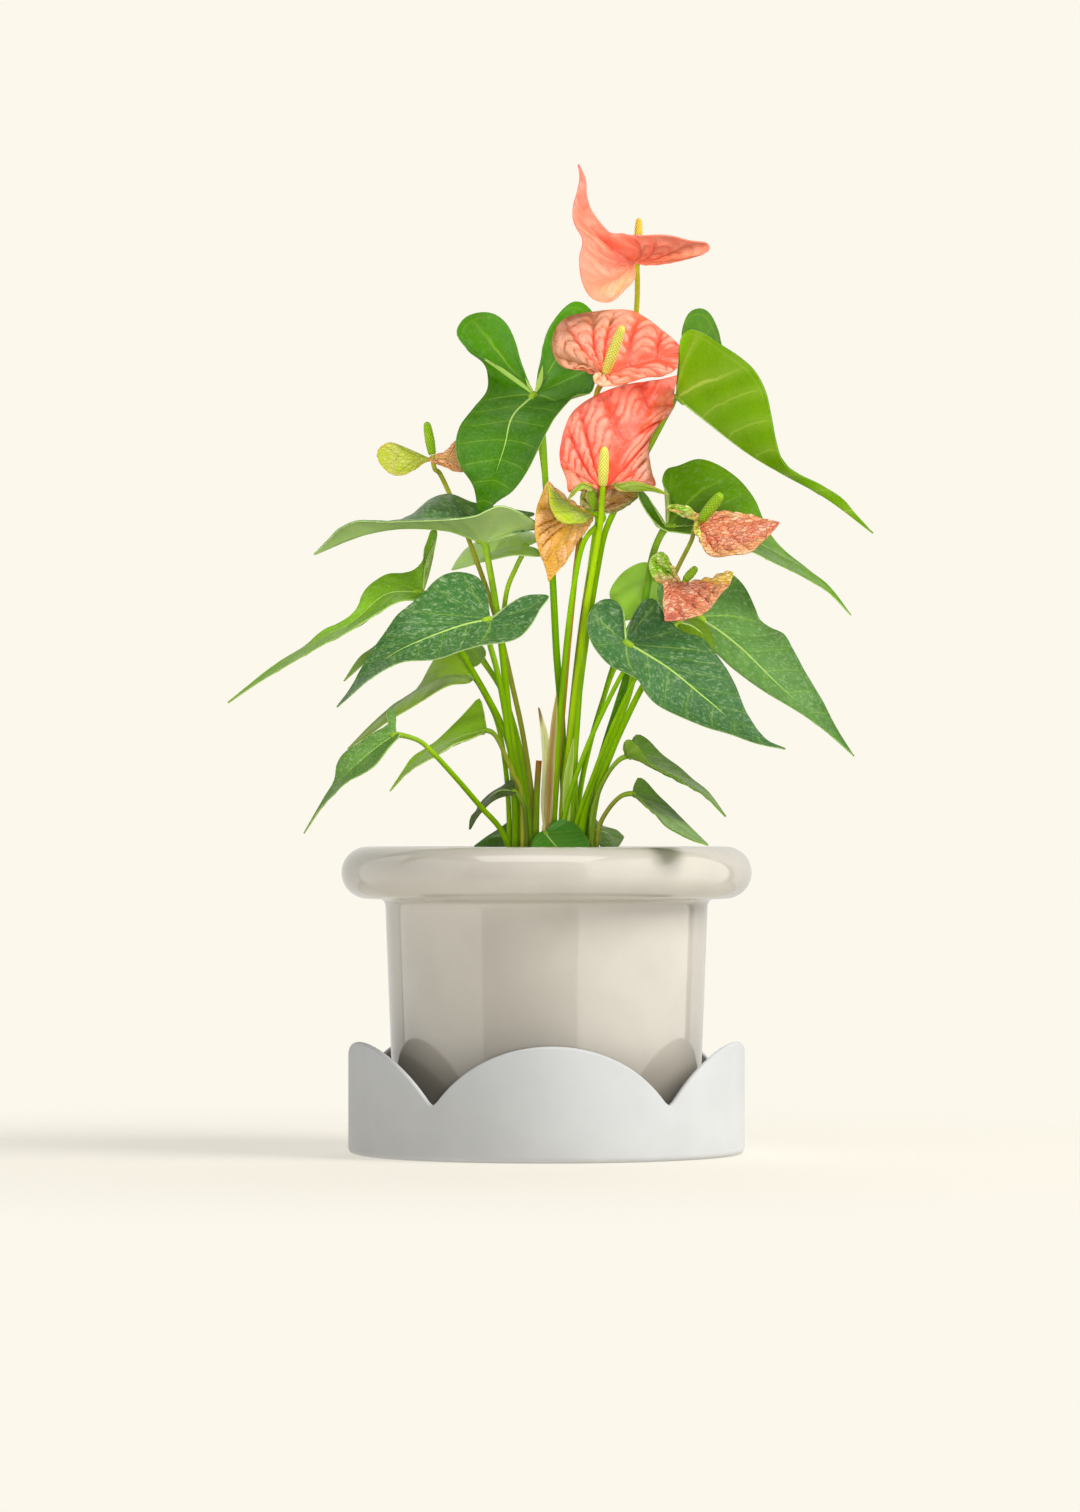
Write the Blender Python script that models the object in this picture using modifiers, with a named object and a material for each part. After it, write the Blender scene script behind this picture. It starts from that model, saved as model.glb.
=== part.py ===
"""A potted anthurium: leaves and flowers on long stems, in a glazed pot that stands in a scalloped saucer.

The origin is the middle of the saucer's flat underside, +Z is up and -Y is the front.
"""

import math

import bmesh
import bpy
import numpy as np
from mathutils import Matrix, Vector

MM = 0.001

# Saucer: a turned cup whose lip rises and falls in five equal arcs
SAUCER_RADIUS = 99.0
SAUCER_WALL = 3.0
SAUCER_FLOOR = 3.0
SCALLOPS = 5
SCALLOP_PEAK = 56.5
SCALLOP_ARC = 78.0
SCALLOP_TURN = 1.5
SAUCER_STEPS = 60

# Pot: a slightly tapered body under a thick rolled rim
POT_FOOT = 3.3
POT_FOOT_RADIUS = 76.0
POT_BODY_RADIUS = 80.5
POT_FLOOR = 10.3
POT_INNER_FOOT = 71.5
POT_INNER_TOP = 75.0
POT_SHOULDER = 128.0
RIM_RADIUS = 89.5
RIM_HEIGHT = 140.0
RIM_THICK = 13.0
POT_STEPS = 48
SOIL_STEPS = 24

# Soil and the holes that the stems stand in
SOIL_TOP = 140.0
HOLE_FLOOR = 125.7
STEM_FOOT = 126.0
STEM_UPRIGHT = 141.0
FIT = 0.3
HOLE_SIDES = 8

# Plant
BLADE_THICK = 0.8
BLADE_BULGE = 0.05
TIP_HALF_WIDTH = 0.5
RIB_RUN = 4.0
RIB_END_THICK = 0.75
BLADE_STEP = 11.0
FLAP_STEP = 20.0
SPADIX_ABOVE = 1.8

# The plant's points are (x, y, z) in millimetres. x and z are read where a point lines up with the plane
# through the pot's axis, for an eye EYE_FAR in front of it and EYE_HIGH above the table. y is the depth
# behind that plane, before FULLNESS spreads the plant front to back.
EYE_FAR = 3000.0
EYE_HIGH = 160.0
FULLNESS = 1.35

# Colours as base colour, roughness and metallic value
GLAZE = ((0.60, 0.56, 0.50), 0.12, 0.0)
SAUCER_CLAY = ((0.63, 0.62, 0.60), 0.65, 0.0)
SOIL_DARK = ((0.035, 0.026, 0.020), 0.95, 0.0)
LEAF_GREEN = ((0.09, 0.24, 0.05), 0.35, 0.0)
LEAF_BLUE_GREEN = ((0.09, 0.20, 0.10), 0.40, 0.0)
LEAF_BRIGHT = ((0.19, 0.40, 0.04), 0.35, 0.0)
LEAF_PALE = ((0.30, 0.45, 0.14), 0.45, 0.0)
LEAF_BROWN = ((0.20, 0.15, 0.08), 0.60, 0.0)
STEM_GREEN = ((0.24, 0.40, 0.04), 0.40, 0.0)
SPATHE_CORAL = ((0.85, 0.17, 0.10), 0.30, 0.0)
SPATHE_AGED = ((0.52, 0.17, 0.10), 0.45, 0.0)
SPATHE_TAN = ((0.58, 0.33, 0.12), 0.50, 0.0)
SPATHE_GREEN = ((0.38, 0.50, 0.06), 0.40, 0.0)
SPADIX_YELLOW = ((0.75, 0.52, 0.08), 0.45, 0.0)
SPADIX_GREEN = ((0.42, 0.40, 0.05), 0.50, 0.0)
SHEATH_PALE = ((0.55, 0.56, 0.22), 0.60, 0.0)
SHEATH_BROWN = ((0.30, 0.22, 0.10), 0.70, 0.0)


LEAVES = {
    "leaf_upper_left": dict(
        rib=[(-6, 12, 379), (-17, 5, 368), (-21, 1, 353), (-27, -2, 335), (-34, 0, 316)],
        left_lobe=[(-12, 14, 386), (-14, 18, 398), (-18.5, 20, 412), (-25, 18, 419),
                   (-33, 14, 420.5), (-41, 10, 417.5), (-45, 8, 410), (-40, 8, 402.5),
                   (-32, 13, 396), (-29.5, 14, 389)],
        left_side=[(-30, 8, 381), (-37, 2, 372), (-43.5, -4, 363), (-45.5, -6, 353),
                   (-43, -6, 343), (-37, -3, 334), (-35, -1, 325)],
        right_lobe=[(-2, 14, 386), (-2, 20, 400), (1, 24, 412), (8, 27, 422), (15, 27, 426),
                    (22, 25, 422), (27, 22, 412), (29, 18, 400), (25, 13, 388)],
        right_side=[(22, 8, 380.5), (14, 4, 379), (5, -2, 369), (0, -6, 360), (-9, -8, 342),
                    (-17, -6, 331), (-26, -3, 324.5)],
        stem=[(9, 10, 150), (8.5, 12, 190), (7, 15, 225), (5, 17, 250), (3.2, 19, 285),
              (1.5, 20, 312), (-0.5, 20, 335), (-1.8, 19, 358), (-4, 16, 371)],
        thick=(2.1, 1.5)),
    "leaf_left_high": dict(
        rib=[(-31, 0, 304.5), (-41, -2, 308.5), (-52, -4, 311.5), (-75, -8, 312), (-98, -12, 307),
             (-116, -16, 299)],
        left_lobe=[(-22, -4, 308), (-12, -8, 311.5), (0, -12, 312), (-6, -16, 316),
                   (-14, -20, 320.5), (-23, -24, 323), (-30, -26, 320.5)],
        left_side=[(-37, -30, 318), (-58, -34, 316.5), (-80, -30, 315), (-94, -26, 316),
                   (-103, -22, 312.5), (-109, -19, 306.5)],
        right_lobe=[(-22, 6, 310), (-12, 12, 317), (-6, 16, 319.5), (-12, 20, 320.5),
                    (-24, 22, 322)],
        right_side=[(-37, 24, 325), (-48, 24, 329.5), (-58, 22, 327), (-68, 16, 318),
                    (-80, 8, 312.5), (-96, -2, 307.5)],
        stem=[(-8, 3, 150), (-9.5, 2.5, 165), (-14, 1, 190), (-18, -1, 212), (-20.5, 0, 235),
              (-23, 3, 258), (-26, 2, 278), (-29, 1, 295)],
        thick=(2, 1.6)),
    "leaf_left_behind": dict(
        rib=[(-10, 30, 303), (-22, 38, 301), (-36, 46, 297), (-47, 52, 291.5)],
        left_lobe=[(-4, 24, 301), (-3, 20, 298.5)],
        left_side=[(-15, 24, 298.5), (-28, 32, 296.5), (-38, 41, 293.5), (-44, 48, 292)],
        right_lobe=[(-4, 38, 306), (-4, 48, 309)],
        right_side=[(-14, 58, 311), (-28, 64, 309), (-38, 64, 303), (-44, 59, 297)],
        stem=[(-9, 15, 150), (-10, 17, 170), (-14, 21, 195), (-18, 24, 215), (-20.5, 27, 235),
              (-22, 29, 258), (-20, 30, 280), (-15, 30, 293)],
        thick=(1.5, 1.2)),
    "leaf_far_left": dict(
        rib=[(-62, 4, 280), (-80, -8, 279), (-97, -18, 265), (-112, -26, 257.5), (-135, -34, 243),
             (-159, -42, 225)],
        left_lobe=[(-61.5, 6, 288), (-60, 12, 297), (-56, 16, 305), (-55, 18, 311), (-58, 20, 311),
                   (-60.5, 17, 304), (-61.5, 12, 297), (-66, 10, 291.5)],
        left_side=[(-72, 6, 289.5), (-80, 0, 289), (-87, -6, 285), (-92, -10, 279.5),
                   (-95.5, -14, 271), (-104, -18, 264.5), (-112, -22, 261), (-121, -27, 253),
                   (-137, -33, 243)],
        right_lobe=[(-59, 1, 281.5), (-57, -3, 281), (-59, -6, 278), (-63, -9, 276)],
        right_side=[(-75, -26, 275), (-88, -38, 268), (-100, -40, 260), (-112, -40, 253.5),
                    (-130, -41, 243.5), (-146, -42, 234)],
        stem=[(-12.5, 8, 150), (-14.5, 7.5, 175), (-18, 5, 200), (-22.5, 2, 214), (-29, -3, 227),
              (-37, -8, 241), (-46, -8, 256), (-55, -4, 271)],
        thick=(1.6, 1.3)),
    "leaf_left_broad": dict(
        rib=[(-28, -22, 266.5), (-42, -26, 263.5), (-60, -31, 257), (-76, -36, 249.5),
             (-90, -41, 238.5), (-104.5, -45, 223)],
        left_lobe=[(-29, -18, 272), (-30, -13, 281), (-34, -9, 287), (-40, -8, 289.5),
                   (-46, -8, 290), (-52, -9, 288.5), (-57, -11, 285), (-61, -13, 280.5)],
        left_side=[(-69, -19, 273.2), (-75, -22, 268), (-80, -23, 261), (-86, -28, 253),
                   (-92, -34, 243), (-98, -39.5, 232)],
        right_lobe=[(-24, -24, 269), (-19, -25, 273.5), (-12, -27, 278), (-5, -29, 279),
                    (1.5, -32, 278), (-3, -34, 272), (-8, -36, 264), (-14, -38, 258)],
        right_side=[(-21, -39, 255.5), (-32, -41, 253.5), (-43, -43, 250.5), (-55, -45, 247),
                    (-70, -46, 246), (-80, -47, 242), (-90, -47, 235.5), (-98, -46.5, 228.5)],
        stem=[(-15.5, -2, 150), (-16, -3, 175), (-18, -5, 200), (-21, -7, 222), (-25, -10, 242),
              (-28.5, -14, 255), (-28.5, -18, 262)],
        thick=(1.7, 1.4)),
    "leaf_left_under": dict(
        rib=[(-37.5, 4, 238.5), (-50, 0, 238), (-63, -2, 231.5), (-78, -4, 221), (-99, -6, 202)],
        left_lobe=[(-36.5, -3.5, 236.5), (-39, -9, 235.2)],
        left_side=[(-48, -18, 233.5), (-60, -20, 227), (-72, -18, 220.5), (-85, -13, 211.5)],
        right_lobe=[(-38, 8, 244), (-41, 14, 251), (-47, 18, 255), (-53, 18, 253)],
        right_side=[(-57, 14, 245), (-61, 9, 237), (-66, 5, 230), (-76, 1, 224), (-88, -3, 213.5)],
        stem=[(-18.5, 4, 150), (-19, 7, 175), (-21.5, 10.5, 200), (-25, 12, 216), (-30, 11, 227),
              (-34.5, 8, 235)],
        thick=(1.4, 1.1)),
    "leaf_left_rear": dict(
        rib=[(-44, 30, 259), (-60, 34, 262), (-80, 34, 254), (-101, 28, 236)],
        left_lobe=[(-45, 34, 265), (-50, 40, 271), (-57, 44, 273)],
        left_side=[(-66, 46, 271), (-76, 44, 262), (-86, 39, 253), (-94, 33, 247)],
        right_lobe=[(-37, 26, 256), (-31, 24, 252), (-31, 22, 247.5), (-37, 21, 243),
                    (-44, 20, 249)],
        right_side=[(-56, 22, 252), (-70, 24, 251), (-82, 26, 249), (-91, 28, 245)],
        stem=[(-6.5, 11, 150), (-8.5, 13, 175), (-14, 17, 205), (-22, 22, 230), (-33, 27, 247),
              (-40, 29, 255)],
        thick=(1.5, 1.2)),
    "leaf_left_low": dict(
        rib=[(-75, -38, 209), (-84, -40, 203), (-97, -44, 192), (-107, -46, 181),
             (-121, -50, 160)],
        left_lobe=[(-76, -34, 214), (-75.5, -31, 219), (-78, -32, 223), (-80, -36, 219)],
        left_side=[(-79, -39, 214.5), (-88, -41, 209), (-95, -41, 204), (-101.5, -41, 199.5),
                   (-105, -41, 193), (-106, -43, 186), (-112, -46, 176)],
        right_lobe=[(-73.5, -40, 209.5), (-75, -48, 206.5)],
        right_side=[(-79.5, -54, 201), (-86, -56, 194), (-93, -56, 189), (-100, -55, 185),
                    (-107, -53, 178.5), (-114, -51.5, 171)],
        stem=[(-16, -12, 150), (-22, -16, 160), (-33, -23, 173), (-45, -30, 187), (-56, -35, 199),
              (-64, -37, 206)],
        thick=(1.5, 1.2)),
    "leaf_left_slim": dict(
        rib=[(-30, -4, 211), (-42, -8, 208), (-55, -13, 202), (-67, -19, 194), (-78, -26, 181)],
        left_lobe=[(-31.5, 0, 218), (-33.5, 5, 227)],
        left_side=[(-39, 4, 222), (-46, 1, 214), (-54, -4, 206.5), (-61, -9, 201.5),
                   (-67, -14, 197.5), (-72, -20, 190.5)],
        right_lobe=[(-30.5, -9, 210), (-34, -16, 209)],
        right_side=[(-42, -22, 205.5), (-50, -26, 201.5), (-60, -27, 196), (-70, -27, 189.5)],
        stem=[(-11.5, -7.5, 150), (-12.5, -8, 178), (-16, -8, 188), (-20, -7.5, 197),
              (-23.5, -6.5, 205), (-26.5, -5, 209.5)],
        thick=(1.4, 1.1)),
    "leaf_withered": dict(
        rib=[(-15.5, -14, 180.5), (-24, -13, 180.5), (-32, -11, 173), (-37.5, -10, 168),
             (-38.5, -10, 161.5)],
        left_lobe=[(-17, -10, 186.5)],
        left_side=[(-22, -8, 183), (-28, -6, 179.5), (-34, -7, 173)],
        right_lobe=[(-16, -17, 179)],
        right_side=[(-22, -16, 178), (-28, -14.5, 175), (-34, -12, 168.5)],
        stem=[(-9, -12.5, 150), (-10.5, -13, 170), (-12.5, -13.5, 176)],
        thick=(1.2, 1)),
    "leaf_rim_left": dict(
        rib=[(-15, 25, 155), (-21, 18, 158), (-28, 12, 157), (-36, 6, 153)],
        left_lobe=[(-13, 29, 161), (-14, 30, 166.5)],
        left_side=[(-19, 27, 165.5), (-23.5, 22, 162), (-29, 14, 158.5)],
        right_lobe=[(-14, 18, 152)],
        right_side=[(-20, 10, 150), (-27, 5, 150), (-32, 3, 151)],
        stem=[(-13, 24, 144), (-13.5, 25, 149)],
        thick=(1.3, 1.1)),
    "leaf_rim_front": dict(
        rib=[(-0.5, -27, 159.5), (3, -34, 155), (8, -41, 149.5), (14, -47, 144.5)],
        left_lobe=[(-2, -26, 160.5), (-5, -28, 158.5)],
        left_side=[(-7.5, -34, 153.5), (-5, -41, 148), (3, -46, 145)],
        right_lobe=[(2, -24, 163.5), (7, -23, 166.5), (12, -24, 165)],
        right_side=[(17, -28, 161.5), (21, -36, 156), (20, -43, 149)],
        stem=[(2, -20, 144), (1.5, -21, 150), (0, -24.5, 156)],
        thick=(1.3, 1.1)),
    "leaf_rim_right": dict(
        rib=[(24.5, -3, 160.5), (29, -1, 160), (33.5, 1, 158), (38.5, 3, 157.5)],
        left_lobe=[(23.5, 0, 165), (22.8, 3, 168.5)],
        left_side=[(26.5, 5, 164), (30, 5, 162.5), (35, 5, 161)],
        right_lobe=[(25, -7, 157)],
        right_side=[(28, -9, 152), (32, -9, 151), (36, -4, 153)],
        stem=[(25, -1.5, 144), (25, -2, 150), (24.5, -2.5, 155)],
        thick=(1.2, 1)),
    "leaf_upper_right": dict(
        rib=[(65, -2, 378), (80, -8, 366), (100, -15, 350.5), (120, -22, 338.5), (140, -29, 327.5),
             (163, -33, 310)],
        left_lobe=[(65.9, -7, 385), (66.2, -13, 394), (66.8, -18, 405), (69, -21, 410),
                   (73, -24, 411.5), (80, -30, 409)],
        left_side=[(88, -36, 404), (97, -41, 398), (104, -45, 391), (109, -45, 381),
                   (112, -43, 368), (115, -38, 355), (119, -33, 345), (127, -31, 338.8),
                   (138, -31, 333.5), (148, -32, 327), (155, -32.5, 319)],
        right_lobe=[(66.3, 4, 386), (67.5, 11, 400), (68, 17, 411), (71, 21, 419.5), (77, 23, 422),
                    (82, 23, 419), (86, 21, 411)],
        right_side=[(88.5, 20, 402), (97, 20, 385), (106, 15, 367), (114, 4, 352.5),
                    (124, -9, 340), (137, -20, 330.5), (150, -28, 321)],
        stem=[(15, 10, 150), (14, 11, 180), (14.5, 12.5, 212), (17.5, 13.5, 240),
              (21.5, 14.5, 268), (25.5, 16, 292), (29, 17, 309), (34, 16, 321), (41, 15, 334),
              (50, 13, 350), (58.5, 8, 366), (62.7, 3, 373.5)],
        thick=(1.9, 1.4)),
    "leaf_right_high": dict(
        rib=[(60, 8, 312.5), (80, 2, 313), (98, -4, 308.5), (118, -10, 298), (136, -14, 286.5),
             (152, -18, 269)],
        left_lobe=[(56, 4, 318), (49.5, 0, 329.5), (45.5, -4, 329.5), (50, -8, 320),
                   (58, -8, 312)],
        left_side=[(66, -11, 310.5), (76, -16, 309), (90, -21, 304), (103, -24, 300.5),
                   (115, -24, 295), (130, -22, 287), (142, -20, 279.5)],
        right_lobe=[(61.5, 14, 320), (61.5, 18, 329), (58.5, 20, 336), (60, 22, 341.5),
                    (66, 24, 343.5)],
        right_side=[(76, 27, 347), (86, 27, 344), (96, 23, 336.5), (104, 16, 326), (110, 7, 313),
                    (118, -1, 302), (130, -8, 292), (142, -14, 282.5)],
        stem=[(17, 5, 150), (22, 5, 175), (28.5, 5, 200), (35, 5, 221), (42, 5, 244),
              (47.5, 5, 265), (50.5, 5.5, 283), (52.8, 6, 297), (56, 7, 306.5)],
        thick=(2.3, 1.7)),
    "leaf_right_broad": dict(
        rib=[(39.5, -42, 255), (50, -45, 249), (63, -49, 240.5), (80, -54, 226.5),
             (100, -59, 210.5), (119, -63, 202)],
        left_lobe=[(38.8, -41, 262), (38.5, -38, 270), (36, -36, 274.5), (31, -36, 277),
                   (25, -37, 275), (21.5, -39, 270), (20.5, -42, 263), (22, -45, 256),
                   (26, -48, 249.5)],
        left_side=[(32, -51, 243.5), (40, -53, 240), (46, -55, 236.5), (49.5, -57, 230.5),
                   (54, -59, 225), (61, -61, 220.5), (70, -62, 216.5), (80, -63, 212.7),
                   (92, -64, 209.3), (105, -64.5, 204.7)],
        right_lobe=[(41, -38, 262), (43.5, -34, 269), (47, -31, 274.5), (51, -30, 277),
                    (55, -30, 276), (59, -31, 269), (64, -33, 263), (70, -35, 259)],
        right_side=[(78, -38, 257), (84, -41, 250.5), (90, -45, 242), (95, -49, 232),
                    (99, -53, 222), (104, -57, 213.5), (110.5, -60.5, 206)],
        stem=[(15, -13, 150), (20, -14.5, 175), (28, -17, 197), (36, -20, 215), (42, -25, 232),
              (43.5, -32, 244), (41.5, -38.5, 252)],
        thick=(1.9, 1.5)),
    "leaf_right_long": dict(
        rib=[(75, -20, 268), (88, -24, 259.5), (100, -28, 249.5), (115, -34, 234.5),
             (130, -40, 221), (153.5, -48, 198.5)],
        left_lobe=[(70, -17, 272), (63, -14, 281), (58, -13, 285.5), (55.3, -14, 281),
                   (56.5, -17, 274), (61, -20, 267), (67, -23, 261)],
        left_side=[(75, -27, 257), (84, -31, 250.5), (92, -35, 243), (102, -39, 235.5),
                   (112, -43, 229), (122, -45, 223), (132, -47, 216.5), (143, -48, 208)],
        right_lobe=[(76, -14, 275), (81, -8, 283), (87, -5, 288), (93, -5, 288.7),
                    (98, -7, 284.5)],
        right_side=[(101.5, -10, 279), (104.5, -13, 272), (107, -16, 266), (112, -19, 262),
                    (119, -23, 258.7), (124, -28, 250.5), (130, -33, 239.5), (138, -38.5, 226),
                    (145, -43.5, 212.5)],
        stem=[(20, -7, 150), (25, -8, 178), (32.5, -9, 200), (40, -10.5, 217), (47.5, -12, 232),
              (56, -15, 246), (66, -18, 259.5)],
        thick=(1.8, 1.4)),
    "leaf_right_behind": dict(
        rib=[(54, 34, 286), (47, 26, 283), (42, 20, 276), (39.5, 16, 266.5)],
        left_lobe=[(55, 36, 293)],
        left_side=[(48, 36, 295), (40, 32, 291.5), (34, 26, 285), (31.5, 22, 279), (35, 18, 272)],
        right_lobe=[(60, 31, 286), (60, 25, 279)],
        right_side=[(54, 20, 274), (48, 18, 270.5), (43, 16.5, 267)],
        stem=[(14, 16.5, 150), (16.5, 18, 178), (21.5, 20, 203), (27.5, 22, 224), (34.5, 26, 247),
              (43, 30, 266), (50, 33, 279)],
        thick=(1.3, 1.1)),
    "leaf_right_young": dict(
        rib=[(66, -29, 265), (73, -30, 263), (80, -32, 257), (84.5, -34, 250.5)],
        left_lobe=[(66, -31, 262.5)],
        left_side=[(71, -33, 257.5), (78, -35, 253.5)],
        right_lobe=[(67, -25, 267)],
        right_side=[(75, -24, 266.5), (82, -27, 260.5)],
        stem=[(10, -19, 150), (15, -21, 165), (24, -26, 190), (33, -30, 213), (45, -34, 238),
              (57, -33, 255)],
        thick=(1.3, 1)),
    "leaf_right_small": dict(
        rib=[(40, -20, 198), (52, -28, 194), (65, -35, 187.5), (78, -42, 180.5), (89.5, -48, 168)],
        left_lobe=[(38.5, -26, 201), (39.5, -30, 206), (43, -34, 205.5), (47, -38, 201)],
        left_side=[(52, -41, 195), (60, -44, 189.5), (70, -47, 184), (79, -49, 178.5)],
        right_lobe=[(42, -12, 204), (45, -9, 208.5), (50, -10, 206.5)],
        right_side=[(57, -14, 200), (65, -21, 193.5), (73, -30, 186.5), (81, -38, 180)],
        stem=[(22.5, -13, 144), (22.5, -14, 166), (26, -15.5, 180), (31, -17.5, 190),
              (36, -19, 196)],
        thick=(1.3, 1.1)),
    "leaf_right_low": dict(
        rib=[(43, -26, 179.5), (52, -35, 174), (62, -45, 167), (71, -56, 160), (80.5, -68, 153.8)],
        left_lobe=[(43, -31, 178), (47, -39, 177)],
        left_side=[(51, -47, 172.5), (57, -56, 166), (64, -64, 160.5), (72, -69, 156.5)],
        right_lobe=[(44, -22, 183.5), (45.5, -19, 187), (49, -20, 186)],
        right_side=[(55, -25, 179.5), (61, -31, 173.5), (68, -41, 166.5), (75, -54, 159.5)],
        stem=[(24.5, -20, 146), (26, -21, 161), (30.5, -22.5, 171), (37, -24.5, 178)],
        thick=(1.3, 1.1)),
    "leaf_back_high": dict(
        rib=[(-14, 44, 377), (-20, 58, 366), (-28, 72, 350), (-34, 82, 332)],
        left_lobe=[(-18, 41, 381.5)],
        left_side=[(-26, 46, 377), (-34, 56, 368), (-40, 66, 357), (-41, 74, 346), (-38, 80, 337)],
        right_lobe=[(-8, 46, 380.5)],
        right_side=[(-1, 54, 375), (-3, 66, 363), (-10, 76, 349), (-21, 82, 336)],
        stem=[(8.5, 23, 150), (8.5, 25, 190), (7, 27, 225), (5, 29, 250), (3.2, 31, 285),
              (1.5, 33, 312), (-0.5, 35, 335), (-4, 38, 358), (-10, 41.5, 371)],
        thick=(1.6, 1.3)),
    "leaf_back_right": dict(
        rib=[(52, 46, 258), (58, 58, 250), (66, 72, 240), (74, 86, 227)],
        left_lobe=[(46, 47, 257)],
        left_side=[(44, 56, 250), (50, 68, 240), (58, 80, 230), (66, 86, 224)],
        right_lobe=[(57, 42, 261)],
        right_side=[(67, 48, 255), (76, 60, 248), (83, 72, 240), (82, 83, 230)],
        stem=[(14, 24, 150), (16.5, 26, 178), (21.5, 28, 203), (27.5, 31, 224), (34.5, 36, 243),
              (44, 42, 253)],
        thick=(1.5, 1.2)),
    "leaf_back_left": dict(
        rib=[(-42, 50, 270), (-50, 62, 265), (-58, 74, 258), (-64, 84, 250)],
        left_lobe=[(-40, 48, 276)],
        left_side=[(-47, 54, 280), (-57, 62, 276), (-65, 72, 268), (-68, 80, 258)],
        right_lobe=[(-37, 51, 266)],
        right_side=[(-38, 60, 258), (-46, 70, 252), (-56, 80, 248.5)],
        stem=[(-7, 20, 150), (-8.5, 23, 175), (-14, 28, 205), (-22, 34, 230), (-33, 42, 249),
              (-39, 47, 262)],
        thick=(1.5, 1.2)),
}

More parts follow.
